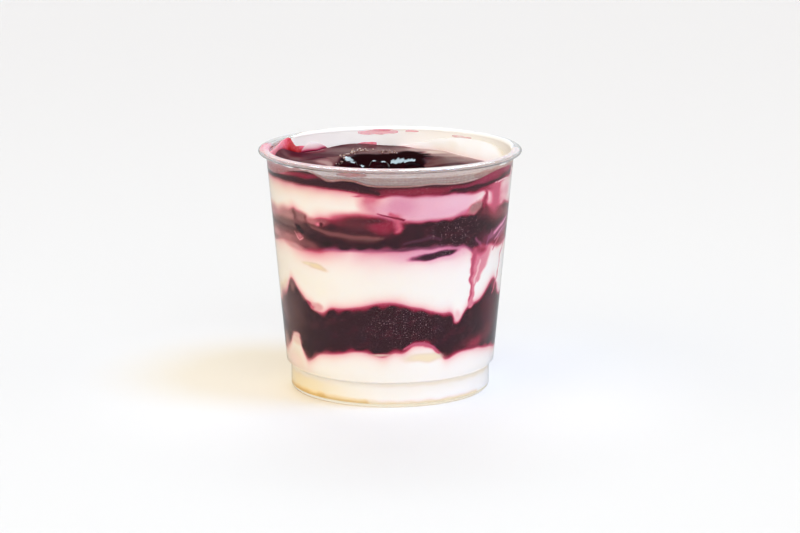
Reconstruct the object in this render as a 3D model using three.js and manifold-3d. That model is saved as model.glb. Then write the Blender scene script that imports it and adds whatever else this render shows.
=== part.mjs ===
// Red berry cheesecake cup: a clear, squat dessert cup with a rounded lip, filled with bands of
// cheesecake cream and dark berry compote, and dark berries sunk in the compote on top.
// Millimetres, +Z up. The cup stands on z = 0 and its axis is the Z axis. Angles are in degrees
// round that axis: 0 is the front of the cup (-Y), 90 its right side (+X).

import * as THREE from "three";
import { mergeVertices } from "three/addons/utils/BufferGeometryUtils.js";
import Module from "manifold-3d";

const wasm = await Module();
wasm.setup();

// Driving dimensions of the cup
const cupHeight = 72.2;
const lipRadius = 39;
const lipHalfWidth = 1.6;
const lipHalfHeight = 0.8;
const wallThickness = 0.9;
const wallFlare = 0.0918; // how far the wall leans out for each millimetre of height
const wallRadiusAtTable = 30.25; // the outer wall's line carried down to the table
const baseRadius = 29.7;
const baseEdgeRadius = 1.2;
const ledgeLow = 7.6; // the little step where the straight base meets the leaning wall
const ledgeHigh = 8.5;
const innerLedgeLow = 7.9; // the same step on the inside
const innerLedgeHigh = 8.9;
const footRecess = 0.4;
const footInnerRadius = 25.8;
const floorHeight = 1.1; // inner floor above the table
const floorFillet = 0.9;

// How the contents are divided up
const gap = 0.3; // air between neighbouring pieces
const columns = 72; // steps round the cup, shared by the cup and all it holds
const bandShares = [0.4, 0.7, 0.88, 1]; // rings of a band, as shares of its radius
const surfaceShares = [0.14, 0.28, 0.42, 0.55, 0.68, 0.8, 0.92, 1];
const swellDecay = 6; // power with which a band's swells die away towards the axis
const bowlPower = 4; // power with which the bowl under the compote steepens towards its rim

// Where one band ends and the next begins. Each boundary has a height on the axis, a level at the
// wall and the swells that lift or pull down its line on the wall: a rise in millimetres at an
// angle, fading over so many degrees to its left and right, sharply for a high power.
const creamBaseTop = {
  centre: 15.5,
  level: 15.5,
  swells: [
    { at: -79, rise: -2.8, left: 11, right: 6, power: 2 },
    { at: -60.5, rise: 3.7, left: 6.5, right: 4.4, power: 2.6 }, // cream wedge at the left
    { at: -51, rise: -3.7, left: 3.6, right: 7, power: 1.7 }, // compote fang hanging beside it
    { at: -15, rise: 1.8, left: 12, right: 8, power: 2 },
    { at: 3, rise: 1.6, left: 4.5, right: 5, power: 2 },
    { at: 17, rise: 4.1, left: 8.5, right: 9.5, power: 3 }, // arch of cream at the front
    { at: 31, rise: -1.4, left: 4, right: 5, power: 2 },
    { at: 49, rise: 0.7, left: 8, right: 8, power: 2 },
    { at: 88, rise: -2.5, left: 20, right: 14, power: 2 },
    { at: 126, rise: 2.6, left: 16, right: 14, power: 2 },
    { at: 164, rise: -1.6, left: 12, right: 15, power: 2 },
    { at: -146, rise: 2.3, left: 18, right: 16, power: 2 },
    { at: -112, rise: -1.2, left: 12, right: 10, power: 2 },
  ],
};
const lowerCompoteTop = {
  centre: 31,
  level: 29.3,
  swells: [
    { at: -81, rise: -2.2, left: 9, right: 8, power: 2 },
    { at: -60.5, rise: 6.6, left: 5.5, right: 9, power: 1.7 }, // fang drawn up the left wall
    { at: -38, rise: -1.9, left: 5, right: 4.5, power: 2.5 },
    { at: 0, rise: 2.5, left: 16, right: 14, power: 2 }, // low dome at the front
    { at: 29, rise: -1.4, left: 8, right: 6, power: 2 },
    { at: 38, rise: -3.9, left: 3.8, right: 4.4, power: 2.2 }, // tongue of cream
    { at: 66, rise: 5.7, left: 9.5, right: 6, power: 2 }, // shoulder at the right
    { at: 112, rise: -2.4, left: 14, right: 12, power: 2 },
    { at: 148, rise: 3, left: 16, right: 14, power: 2 },
    { at: -142, rise: -1.6, left: 16, right: 14, power: 2 },
    { at: -106, rise: 2.4, left: 11, right: 8, power: 2 },
  ],
};
const middleCreamTop = {
  centre: 46,
  level: 47.2,
  swells: [
    { at: -80, rise: -1.2, left: 8, right: 7, power: 2 },
    { at: -61, rise: 0.9, left: 6, right: 6, power: 2 },
    { at: -44, rise: -0.9, left: 8, right: 10, power: 2 },
    { at: 14, rise: 0.8, left: 28, right: 24, power: 2.4 },
    { at: 48, rise: -2.1, left: 6, right: 9, power: 2.5 },
    { at: 64, rise: 0.6, left: 3.5, right: 3.5, power: 2 },
    { at: 81, rise: -1.2, left: 9, right: 10, power: 2 },
    { at: 122, rise: 1.7, left: 18, right: 16, power: 2 },
    { at: 160, rise: -1.8, left: 13, right: 14, power: 2 },
    { at: -150, rise: 1.3, left: 16, right: 15, power: 2 },
    { at: -112, rise: -1.4, left: 12, right: 12, power: 2 },
  ],
};
const middleCompoteTop = {
  centre: 54,
  level: 56.4,
  swells: [
    { at: -74, rise: -2.2, left: 14, right: 12, power: 2.6 },
    { at: -53, rise: 1.2, left: 4, right: 3.4, power: 2 },
    { at: -42.5, rise: -1.9, left: 4.5, right: 5, power: 2 },
    { at: -22, rise: -0.7, left: 12, right: 10, power: 3 },
    { at: -3, rise: 1.5, left: 6, right: 5, power: 2 },
    { at: 20, rise: 0.3, left: 11, right: 13, power: 4 },
    { at: 37, rise: 1, left: 5, right: 7, power: 3 },
    { at: 49.8, rise: 3.7, left: 3.6, right: 4.6, power: 2.4 }, // steep shoulder at the right
    { at: 69.5, rise: 2, left: 7, right: 7, power: 2 },
    { at: 104, rise: -1.4, left: 12, right: 11, power: 2 },
    { at: 140, rise: 2.1, left: 16, right: 15, power: 2 },
    { at: 176, rise: -1.4, left: 13, right: 12, power: 2 },
    { at: -140, rise: 1.8, left: 15, right: 14, power: 2 },
  ],
};
const upperCreamTop = {
  centre: 57.4,
  level: 65.6,
  swells: [
    { at: -9, rise: -1.7, left: 6.5, right: 8, power: 2 },
    { at: 4, rise: -0.6, left: 6, right: 8, power: 2 },
    { at: 20, rise: -2.2, left: 16, right: 26, power: 3 },
    { at: 49, rise: -1.5, left: 14, right: 18, power: 2.4 },
    { at: 132, rise: 4.6, left: 34, right: 36, power: 3 }, // bank of cream up the back wall
    { at: -137, rise: 3.6, left: 12, right: 9, power: 2 }, // lobe of cream at the left
  ],
};
// The line that the compote's own surface reaches on the wall
const compoteContact = {
  level: 66.5,
  swells: [
    { at: -41, rise: 3.3, left: 19, right: 9, power: 2.2 },
    { at: -20, rise: 1.5, left: 8, right: 8, power: 2.4 },
    { at: 20, rise: 0.4, left: 6, right: 6, power: 2 },
    { at: 68, rise: 2.3, left: 21, right: 14, power: 3 },
    { at: -112, rise: 3.4, left: 11, right: 13, power: 2 }, // drawn up the wall at the left
    { at: -160, rise: 1.1, left: 13, right: 12, power: 2.4 },
  ],
};
// How far the cream bank and lobe keep the compote's edge away from the wall
const bankWidth = {
  level: -0.3,
  swells: [
    { at: 124, rise: 9.2, left: 27, right: 29, power: 2.6 },
    { at: 166, rise: 3, left: 14, right: 9, power: 2 },
    { at: -137, rise: 2.6, left: 8, right: 7, power: 2 },
  ],
};
const bankEdgeDepth = 1.3; // compote over the cream at the foot of the bank
const bankLeastRise = 1.5;
const bankPower = 0.8; // below 1 the bank swells out on its way up

// The compote's open surface: a spooned hollow with a raised far lip
const hollowCentre = { x: -2.5, y: 3 };
const hollowHalfLength = 14.5;
const hollowHalfWidth = 9.5;
const hollowDepth = 3.2;
const hollowLipRise = 0.7;
const hollowLipShare = 1.38; // where the lip runs, in half sizes of the hollow
const hollowLipSpread = 0.28;
const ripple = { height: 0.22, lengthX: 6, lengthY: 7.5, skew: 21, phase: 1.2 };

// Dark berries sunk in the hollow
const berries = [
  { x: -12, y: 1.6, z: 62.9, radii: [4.7, 4.3, 4.4], turn: 20 },
  { x: -2.9, y: -0.3, z: 62.5, radii: [4.2, 4.1, 4.3], turn: 75 },
  { x: 6.6, y: 2.4, z: 62.8, radii: [5, 4.3, 4.3], turn: -12 },
  { x: -3.4, y: 8.9, z: 62.2, radii: [4.3, 4.1, 4.2], turn: 40 },
];
const berryColumns = 14;
const berryRows = 8;
const berryLumps = { sideways: 0.03, lengthways: 0.025, wavesX: 3, wavesY: 4, wavesZ: 2 };

const radians = THREE.MathUtils.degToRad;

function outerRadius(height) {
  return wallRadiusAtTable + wallFlare * height;
}

function innerRadius(height) {
  return outerRadius(height) - wallThickness;
}

// Degrees from one angle to another, the short way round
function degreesBetween(from, to) {
  return ((to - from + 540) % 360) - 180;
}

function swellSum(swells, angle) {
  return swells.reduce((sum, { at, rise, left, right, power }) => {
    const away = degreesBetween(at, angle);
    const spread = away < 0 ? left : right;
    return sum + rise * Math.exp(-((Math.abs(away) / spread) ** power));
  }, 0);
}

function wallLine(boundary, angle) {
  return boundary.level + swellSum(boundary.swells, angle);
}

// Points on an arc of an ellipse in the cup's half section, both ends included
function arc(centreRadius, centreHeight, across, upward, fromDegrees, toDegrees, steps) {
  return Array.from({ length: steps + 1 }, (_, i) => {
    const turn = radians(fromDegrees + ((toDegrees - fromDegrees) * i) / steps);
    return new THREE.Vector2(
      centreRadius + across * Math.cos(turn),
      centreHeight + upward * Math.sin(turn),
    );
  });
}

// The cup turned on a lathe: up the outside, over the lip and down the inside to the floor
function cupGeometry() {
  const lipHeight = cupHeight - lipHalfHeight;
  const baseInner = baseRadius - wallThickness;
  const section = [
    new THREE.Vector2(0, footRecess),
    new THREE.Vector2(footInnerRadius, footRecess),
    new THREE.Vector2(footInnerRadius + footRecess, 0),
    ...arc(baseRadius - baseEdgeRadius, baseEdgeRadius, baseEdgeRadius, baseEdgeRadius, -90, 0, 3),
    new THREE.Vector2(baseRadius, ledgeLow),
    new THREE.Vector2(outerRadius(ledgeHigh), ledgeHigh),
    new THREE.Vector2(outerRadius(lipHeight - lipHalfHeight), lipHeight - lipHalfHeight),
    ...arc(lipRadius - lipHalfWidth, lipHeight, lipHalfWidth, lipHalfHeight, -90, 180, 9),
    new THREE.Vector2(innerRadius(innerLedgeHigh), innerLedgeHigh),
    new THREE.Vector2(baseInner, innerLedgeLow),
    ...arc(baseInner - floorFillet, floorHeight + floorFillet, floorFillet, floorFillet, 0, -90, 3),
    new THREE.Vector2(0, floorHeight),
  ];
  return new THREE.LatheGeometry(section, columns).rotateX(Math.PI / 2);
}

// A closed solid between two ringed faces. Each ring is a function of the angle that gives its
// radius and height there; the faces run from a point on the axis outwards, and the side rings
// join their rims from the bottom up. Rings that coincide leave no faces between them.
function ringedSolid({ lowPoint, lowRings, sideRings = [], topRings, topPoint }) {
  const positions = [];
  const triangles = [];
  const addPoint = (height) => positions.push(0, 0, height) / 3 - 1;
  const addRing = (ring) => {
    const first = positions.length / 3;
    for (let i = 0; i < columns; i++) {
      const angle = (360 * i) / columns;
      const [radius, height] = ring(angle > 180 ? angle - 360 : angle);
      const turn = radians(angle);
      positions.push(radius * Math.sin(turn), -radius * Math.cos(turn), height);
    }
    return first;
  };
  const addFace = (point, rings, upward) => {
    const face = (a, b, c) => (upward ? triangles.push(a, b, c) : triangles.push(a, c, b));
    for (let i = 0; i < columns; i++) {
      const next = (i + 1) % columns;
      face(point, rings[0] + i, rings[0] + next);
      for (let j = 1; j < rings.length; j++) {
        face(rings[j - 1] + i, rings[j] + i, rings[j] + next);
        face(rings[j - 1] + i, rings[j] + next, rings[j - 1] + next);
      }
    }
  };
  const lower = addPoint(lowPoint);
  const lowerRings = lowRings.map(addRing);
  const upper = addPoint(topPoint);
  const upperRings = topRings.map(addRing);
  addFace(lower, lowerRings, false);
  addFace(upper, upperRings, true);
  const side = [lowerRings.at(-1), ...sideRings.map(addRing), upperRings.at(-1)];
  for (let j = 1; j < side.length; j++) {
    for (let i = 0; i < columns; i++) {
      const next = (i + 1) % columns;
      triangles.push(side[j - 1] + i, side[j - 1] + next, side[j] + next);
      triangles.push(side[j - 1] + i, side[j] + next, side[j] + i);
    }
  }
  return closedGeometry(positions, triangles);
}

// Indexed geometry with shared corners merged and empty triangles dropped
function closedGeometry(positions, triangles) {
  const loose = new THREE.BufferGeometry();
  loose.setAttribute("position", new THREE.Float32BufferAttribute(positions, 3));
  loose.setIndex(triangles);
  const merged = mergeVertices(loose, 1e-3);
  const corners = merged.index.array;
  const kept = [];
  for (let i = 0; i < corners.length; i += 3) {
    const [a, b, c] = corners.subarray(i, i + 3);
    if (a !== b && b !== c && c !== a) kept.push(a, b, c);
  }
  merged.setIndex(kept);
  merged.computeVertexNormals();
  return merged;
}

// Rings of a plain boundary: flat in the middle, following the wall's swells near the wall
function boundaryRings(boundary, lift) {
  return bandShares.map((share) => (angle) => {
    const wall = wallLine(boundary, angle);
    const height =
      boundary.centre +
      (boundary.level - boundary.centre) * share ** 2 +
      (wall - boundary.level) * share ** swellDecay;
    return [share * (innerRadius(wall + lift) - gap), height + lift];
  });
}

// A band of cream or compote from one boundary to the next
function band(below, above) {
  return ringedSolid({
    lowPoint: below.centre + gap,
    lowRings: boundaryRings(below, gap),
    topRings: boundaryRings(above, 0),
    topPoint: above.centre,
  });
}

// The lowest cream stands on the cup's floor and fills the straight base below the ledge
function creamBaseGeometry() {
  const reach = baseRadius - wallThickness - gap;
  const bottom = floorHeight + gap;
  const fixed = (radius, height) => () => [radius, height];
  return ringedSolid({
    lowPoint: bottom,
    lowRings: [fixed(reach / 2, bottom), fixed(reach - floorFillet, bottom)],
    sideRings: [
      fixed(reach, bottom + floorFillet),
      fixed(reach, innerLedgeLow + gap),
      fixed(innerRadius(innerLedgeHigh + gap) - gap, innerLedgeHigh + gap),
    ],
    topRings: boundaryRings(creamBaseTop, 0),
    topPoint: creamBaseTop.centre,
  });
}

// Height of the compote's open surface over a point of the plan
function openSurface(x, y) {
  const along = (x - hollowCentre.x) / hollowHalfLength;
  const across = (y - hollowCentre.y) / hollowHalfWidth;
  const away = Math.hypot(along, across);
  const farSide = (1 + across / Math.max(away, 1e-6)) / 2; // 1 behind the hollow, 0 in front of it
  const rippled =
    ripple.height *
    Math.sin(x / ripple.lengthX + ripple.phase) *
    Math.cos(y / ripple.lengthY + x / ripple.skew);
  const lip = hollowLipRise * farSide * Math.exp(-(((away - hollowLipShare) / hollowLipSpread) ** 2));
  return compoteContact.level + rippled + lip - hollowDepth * Math.exp(-(away ** 4));
}

function bankInset(angle) {
  return Math.max(0, wallLine(bankWidth, angle));
}

// Radius of the compote's edge: the wall, or the foot of the cream bank
function compoteEdge(angle) {
  return innerRadius(wallLine(compoteContact, angle)) - gap - bankInset(angle);
}

function surfaceAt(angle, radius) {
  return openSurface(radius * Math.sin(radians(angle)), -radius * Math.cos(radians(angle)));
}

// Top of the upper cream: a bowl under the compote, whose rim is the wall line where the compote
// meets the wall, and the foot of the bank where it doesn't
function creamBowlHeight(angle, share) {
  const edge = compoteEdge(angle);
  const rim =
    bankInset(angle) > 0 ? surfaceAt(angle, edge) - bankEdgeDepth : wallLine(upperCreamTop, angle);
  return upperCreamTop.centre + (rim - upperCreamTop.centre) * share ** bowlPower;
}

function creamBowlRings(lift) {
  return bandShares.map((share) => (angle) => {
    const wallContact = innerRadius(wallLine(upperCreamTop, angle) + lift) - gap;
    const reach = bankInset(angle) > 0 ? compoteEdge(angle) : wallContact;
    return [share * reach, creamBowlHeight(angle, share) + lift];
  });
}

// From the foot of the bank up to the wall; where there is no bank these rings lie on the rim
function bankRings() {
  return [0.5, 1].map((share) => (angle) => {
    const wall = wallLine(upperCreamTop, angle);
    const reach = innerRadius(wall) - gap;
    if (bankInset(angle) === 0) return [reach, wall];
    const foot = compoteEdge(angle);
    const footHeight = creamBowlHeight(angle, 1);
    const climb = Math.sin((share * Math.PI) / 2) ** bankPower;
    const height = footHeight + Math.max(wall - footHeight, bankLeastRise) * climb;
    return [foot + (innerRadius(height) - gap - foot) * share, height];
  });
}

function creamUpperGeometry() {
  return ringedSolid({
    lowPoint: middleCompoteTop.centre + gap,
    lowRings: boundaryRings(middleCompoteTop, gap),
    topRings: [...creamBowlRings(0), ...bankRings()],
    topPoint: upperCreamTop.centre,
  });
}

// Lumpy ellipsoid, swollen by an even margin when it is used to cut a berry's seat
function berryGeometry({ x, y, z, radii, turn }, margin) {
  const geometry = new THREE.SphereGeometry(1, berryColumns, berryRows);
  const place = geometry.getAttribute("position");
  const point = new THREE.Vector3();
  const { sideways, lengthways, wavesX, wavesY, wavesZ } = berryLumps;
  for (let i = 0; i < place.count; i++) {
    point.fromBufferAttribute(place, i);
    const lump =
      1 +
      sideways * Math.sin(wavesX * point.x + wavesZ * point.z) +
      lengthways * Math.cos(wavesY * point.y);
    place.setXYZ(i, ...radii.map((r, axis) => point.getComponent(axis) * (r * lump + margin)));
  }
  geometry.deleteAttribute("normal");
  geometry.deleteAttribute("uv");
  return geometry.rotateX(Math.PI / 2).rotateZ(radians(turn)).translate(x, y, z);
}

function toSolid(geometry) {
  const merged = mergeVertices(geometry, 1e-3);
  return new wasm.Manifold(
    new wasm.Mesh({
      numProp: 3,
      vertProperties: merged.getAttribute("position").array,
      triVerts: new Uint32Array(merged.index.array),
    }),
  );
}

function toGeometry(solid) {
  const mesh = solid.getMesh();
  return closedGeometry(Array.from(mesh.vertProperties), Array.from(mesh.triVerts));
}

// Compote on top: its surface rings follow the hollow, and each berry has its seat cut out
function compoteTopGeometry() {
  const block = ringedSolid({
    lowPoint: upperCreamTop.centre + gap,
    lowRings: creamBowlRings(gap).map((ring) => (angle) => {
      const [radius, height] = ring(angle);
      return [bankInset(angle) > 0 ? radius - gap : radius, height];
    }),
    topRings: surfaceShares.map((share) => (angle) => {
      const edge = compoteEdge(angle) - (bankInset(angle) > 0 ? gap : 0);
      const radius = share * edge;
      const open = surfaceAt(angle, radius);
      if (share < 1 || bankInset(angle) > 0) return [radius, open];
      return [radius, wallLine(compoteContact, angle)];
    }),
    topPoint: openSurface(0, 0),
  });
  return toGeometry(
    berries.reduce(
      (left, berry) => left.subtract(toSolid(berryGeometry(berry, gap))),
      toSolid(block),
    ),
  );
}

const clearPlastic = () =>
  new THREE.MeshStandardMaterial({
    color: 0xf3f5f6,
    roughness: 0.06,
    metalness: 0,
    transparent: true,
    opacity: 0.3,
  });
const cream = () =>
  new THREE.MeshStandardMaterial({ color: 0xf4eee1, roughness: 0.55, metalness: 0 });
const compote = () =>
  new THREE.MeshStandardMaterial({ color: 0x3b2731, roughness: 0.25, metalness: 0 });
const berrySkin = () =>
  new THREE.MeshStandardMaterial({ color: 0x1f0e15, roughness: 0.12, metalness: 0 });

function named(name, geometry, material) {
  const mesh = new THREE.Mesh(geometry, material);
  mesh.name = name;
  return mesh;
}

const contents = new THREE.Group();
contents.add(
  named("cream_base", creamBaseGeometry(), cream()),
  named("compote_lower", band(creamBaseTop, lowerCompoteTop), compote()),
  named("cream_middle", band(lowerCompoteTop, middleCreamTop), cream()),
  named("compote_middle", band(middleCreamTop, middleCompoteTop), compote()),
  named("cream_upper", creamUpperGeometry(), cream()),
  named("compote_top", compoteTopGeometry(), compote()),
);
berries.forEach((berry, i) => {
  contents.add(named(`berry_${i + 1}`, berryGeometry(berry, 0), berrySkin()));
});

const cheesecakeCup = new THREE.Group();
cheesecakeCup.add(named("cup", cupGeometry(), clearPlastic()), contents);

export default cheesecakeCup;
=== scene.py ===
# %% [markdown]
# # A berry cheesecake cup
#
# The real object is a clear, squat dessert cup. Cheesecake cream and a very dark berry compote are
# spooned into it in turns, so that wavy bands show through the wall, and a few berries lie sunk in
# the compote on top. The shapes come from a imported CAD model, which is loaded first and never
# changed. This lesson dresses it: it turns a finer cup, pours the bands up to the wall so that no
# air shows between food and plastic, and stains the cream where the juice has run.

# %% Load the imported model
import itertools
import math

import bmesh
import bpy
import numpy as np
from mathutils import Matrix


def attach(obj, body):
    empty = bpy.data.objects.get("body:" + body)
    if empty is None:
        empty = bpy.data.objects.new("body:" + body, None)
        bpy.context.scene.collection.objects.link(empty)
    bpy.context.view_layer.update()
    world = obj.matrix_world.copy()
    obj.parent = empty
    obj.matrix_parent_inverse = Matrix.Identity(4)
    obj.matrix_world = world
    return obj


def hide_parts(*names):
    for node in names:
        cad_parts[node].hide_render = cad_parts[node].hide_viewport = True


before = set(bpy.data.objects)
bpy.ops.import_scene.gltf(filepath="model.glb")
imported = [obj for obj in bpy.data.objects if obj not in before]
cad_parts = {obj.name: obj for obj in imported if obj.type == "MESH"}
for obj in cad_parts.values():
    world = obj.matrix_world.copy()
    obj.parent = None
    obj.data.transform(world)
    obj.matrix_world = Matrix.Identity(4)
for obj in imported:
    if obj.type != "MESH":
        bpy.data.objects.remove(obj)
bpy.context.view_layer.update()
MM = 0.001
print("CAD nodes:", ", ".join(sorted(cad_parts)))

# %% [markdown]
# ## Camera
#
# The picture is taken from about eight tenths of a metre with a long lens, a little above the lip.
# A long lens keeps the cup's sides nearly straight. The place and pitch are set as numbers, because
# a camera that tracks the object would frame it by its middle and not as the photograph does.

# %% Camera
CAMERA_PLACE = (2.96 * MM, -818.07 * MM, 212.46 * MM)
CAMERA_PITCH = 77.82
LENS, SENSOR = 126.0, 36.0

camera_data = bpy.data.cameras.new("camera")
camera_data.lens = LENS
camera_data.sensor_width = SENSOR
camera_data.clip_end = 20
camera = bpy.data.objects.new("camera", camera_data)
camera.location = CAMERA_PLACE
camera.rotation_euler = (math.radians(CAMERA_PITCH), 0, 0)
bpy.context.scene.collection.objects.link(camera)
bpy.context.scene.camera = camera
bpy.context.scene.view_settings.view_transform = "Standard"
print(f"camera: {camera.location.length:.2f} m from the cup's foot, {LENS:.0f} mm lens")

# %% [markdown]
# ## Small helpers for node trees
#
# Materials are built from nodes. One helper adds a node and sets it up, another turns a colour as a
# screen shows it into the linear numbers that a shader works with. The rest are the few nodes that
# nearly every material here needs: a place in the object, noise, a stretched range, a mix of two
# colours, and another shader for some kinds of rays.

# %% Node helpers
def add_node(tree, kind, inputs=None, **settings):
    node = tree.nodes.new(kind)
    for name, value in settings.items():
        setattr(node, name, value)
    for name, value in (inputs or {}).items():
        if isinstance(value, bpy.types.NodeSocket):
            tree.links.new(value, node.inputs[name])
        else:
            node.inputs[name].default_value = value
    return node


def linear(red, green, blue):
    """A screen colour of 0 to 255 a channel as linear light."""
    shares = [c / 255 for c in (red, green, blue)]
    return [c / 12.92 if c <= 0.04045 else ((c + 0.055) / 1.055) ** 2.4 for c in shares]


def new_material(name):
    material = bpy.data.materials.new(name)
    material.use_nodes = True
    material.node_tree.nodes.clear()
    return material, material.node_tree


def output(tree, shader):
    add_node(tree, "ShaderNodeOutputMaterial", {"Surface": shader})


# %% Nodes that many materials need
def object_place(tree):
    return add_node(tree, "ShaderNodeTexCoord").outputs["Object"]


def noise(tree, place, scale, detail):
    inputs = {"Vector": place, "Scale": scale, "Detail": detail}
    return add_node(tree, "ShaderNodeTexNoise", inputs).outputs["Fac"]


def map_range(tree, value, low, high, to_low=0.0, to_high=1.0, kind="LINEAR"):
    """The numbers from low to high stretched over the numbers from to_low to to_high."""
    inputs = {"Value": value, "From Min": low, "From Max": high,
              "To Min": to_low, "To Max": to_high}
    return add_node(tree, "ShaderNodeMapRange", inputs, interpolation_type=kind).outputs["Result"]


def math_node(tree, operation, *values):
    return add_node(tree, "ShaderNodeMath", dict(enumerate(values)), operation=operation).outputs[0]


def mix_colours(tree, share, first, second):
    inputs = {0: share, 6: first, 7: second}
    return add_node(tree, "ShaderNodeMix", inputs, data_type="RGBA").outputs[2]


def swap_for_rays(tree, surface, swaps):
    """The shader, with another one in its place for some kinds of rays."""
    path = add_node(tree, "ShaderNodeLightPath").outputs
    for ray, other in swaps:
        mix = add_node(tree, "ShaderNodeMixShader", {"Fac": path[ray], 1: surface, 2: other})
        surface = mix.outputs[0]
    return surface


# %% [markdown]
# ## Floor and studio light
#
# The photograph is high key: a white table that runs out of the picture, cool daylight from the
# right and a warm room around it. The shadow to the left is beige, because only the warm light
# reaches it. Soft suns stand for the window and for the white walls that throw light back, and the
# world gives the warm rest. Close to the cup the table is a little paler, since a real sheet of
# paper glows there with light that the cup throws back.

# %% Floor
FLOOR_RADIUS, FLOOR_CORNERS = 6.0, 96
FLOOR_NEAR, FLOOR_FAR = 0.905, 0.820       # how white it is near the cup and far from it
FLOOR_FADE = (0.035, 0.11)                 # how far from the middle the one turns into the other
FLOOR_TINT = (0.99, 0.99, 0.975)
FLOOR_MIRRORED = 0.5                       # share of its light that the plastic mirrors
FLOOR_GLOW = 0.36                          # light that reaches the paper through the cup's foot
GLOW_EDGE, GLOW_TINT = (0.0276, 0.0292), (1.0, 0.91, 0.72, 1)


def floor_disc():
    mesh = bpy.data.meshes.new("floor")
    turns = [2 * math.pi * i / FLOOR_CORNERS for i in range(FLOOR_CORNERS)]
    rim = [(FLOOR_RADIUS * math.cos(t), FLOOR_RADIUS * math.sin(t), 0) for t in turns]
    mesh.from_pydata(rim, [], [list(range(FLOOR_CORNERS))])
    material, tree = new_material("table_white")
    inputs = {0: object_place(tree)}
    away = add_node(tree, "ShaderNodeVectorMath", inputs, operation="LENGTH").outputs["Value"]
    shade = map_range(tree, away, *FLOOR_FADE, FLOOR_NEAR, FLOOR_FAR, kind="SMOOTHSTEP")
    glow = map_range(tree, away, *GLOW_EDGE, FLOOR_GLOW, 0.0)
    mirrored = add_node(tree, "ShaderNodeLightPath").outputs["Is Glossy Ray"]
    dim = math_node(tree, "MULTIPLY_ADD", mirrored, FLOOR_MIRRORED - 1, 1.0)
    inputs = {0: FLOOR_TINT, "Scale": math_node(tree, "MULTIPLY", shade, dim)}
    tinted = add_node(tree, "ShaderNodeVectorMath", inputs, operation="SCALE").outputs[0]
    shader = add_node(tree, "ShaderNodeBsdfPrincipled", {
        "Base Color": tinted, "Roughness": 0.6, "Specular IOR Level": 0.2,
        "Emission Color": GLOW_TINT, "Emission Strength": glow})
    output(tree, shader.outputs["BSDF"])
    mesh.materials.append(material)
    floor = bpy.data.objects.new("floor", mesh)
    bpy.context.scene.collection.objects.link(floor)
    return floor


floor_disc()
print(f"floor: {2 * FLOOR_RADIUS:.0f} m across")

# %% [markdown]
# ### What each kind of ray sees
#
# Light has to do three jobs here: it colours the food, it fills the clear wall with what lies
# behind the cup, and it mirrors on the plastic. One world can't be right for all three, so each
# kind of ray sees its own: a warm world lights the food, the camera and bent rays see plain white,
# and mirrored rays see a white room with a dark ceiling. The window's highlight comes from one area
# lamp.

# %% The world
WORLD_WARM = (0.59, 0.465, 0.345)
WORLD_SEEN = (0.92, 0.92, 0.92)
WORLD_MIRRORED, CEILING_MIRRORED = (0.72, 0.72, 0.72), (0.04, 0.04, 0.045)
CEILING_SIDE, CEILING_EDGE = (0, -0.2, 0.98), (0.30, 0.60)


def light_world():
    world = bpy.data.worlds.new("studio")
    world.use_nodes = True
    tree = world.node_tree
    tree.nodes.clear()
    seen = add_node(tree, "ShaderNodeBackground", {"Color": (*WORLD_SEEN, 1)}).outputs[0]
    warm = add_node(tree, "ShaderNodeBackground", {"Color": (*WORLD_WARM, 1)}).outputs[0]
    heading = add_node(tree, "ShaderNodeTexCoord").outputs["Generated"]
    inputs = {0: heading, 1: CEILING_SIDE}
    above = add_node(tree, "ShaderNodeVectorMath", inputs, operation="DOT_PRODUCT").outputs["Value"]
    shade = map_range(tree, above, *CEILING_EDGE, kind="SMOOTHSTEP")
    mirrored = mix_colours(tree, shade, (*WORLD_MIRRORED, 1), (*CEILING_MIRRORED, 1))
    glossy = add_node(tree, "ShaderNodeBackground", {"Color": mirrored}).outputs[0]
    surface = swap_for_rays(tree, warm, [
        ("Is Glossy Ray", glossy), ("Is Transmission Ray", seen), ("Is Camera Ray", seen)])
    add_node(tree, "ShaderNodeOutputWorld", {"Surface": surface})
    bpy.context.scene.world = world
    return world


world = light_world()
print(f"world: {len(world.node_tree.nodes)} nodes")

# %% Lamps
# Each sun: colour, strength, heading (0 in front, 90 at the right), climb, spread in degrees
SUNS = {
    "daylight": ((0.16, 0.44, 0.97), 1.35, 72, 60, 22),
    "front_fill": ((0.81, 0.88, 0.96), 0.92, 15, 37, 50),
    "warm_fill": ((1.0, 0.83, 0.45), 0.60, -55, 38, 50),
    "overhead": ((0.84, 0.95, 0.82), 0.50, 0, 85, 50),
    "back_fill": ((1.0, 0.98, 0.90), 0.36, 180, 48, 40),
    "left_low": ((1.0, 0.88, 0.70), 0.36, -96, 12, 40),
    "right_low": ((1.0, 0.90, 0.62), 0.34, 80, 12, 40),
}
WINDOW_COLOUR, WINDOW_POWER, WINDOW_SIZE = (0.70, 0.90, 1.0), 13.0, (0.75, 0.42)
WINDOW_HEADING, WINDOW_CLIMB, WINDOW_DISTANCE = 180, 57, 0.8
LAMP_TARGET = (0, 0, 40 * MM)


def aim(lamp, heading, climb, distance=1.0):
    """Puts a lamp at a heading (0 in front, 90 at the right) and a climb above the table."""
    h, c = math.radians(heading), math.radians(climb)
    away = (math.sin(h) * math.cos(c), -math.cos(h) * math.cos(c), math.sin(c))
    lamp.location = [t + distance * a for t, a in zip(LAMP_TARGET, away)]
    lamp.rotation_euler = (math.radians(90 - climb), 0, math.radians(heading))


def add_lamp(name, kind, colour, power, **settings):
    data = bpy.data.lights.new(name, kind)
    data.color = colour
    data.energy = power
    for key, value in settings.items():
        setattr(data, key, value)
    lamp = bpy.data.objects.new(name, data)
    bpy.context.scene.collection.objects.link(lamp)
    return lamp


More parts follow.
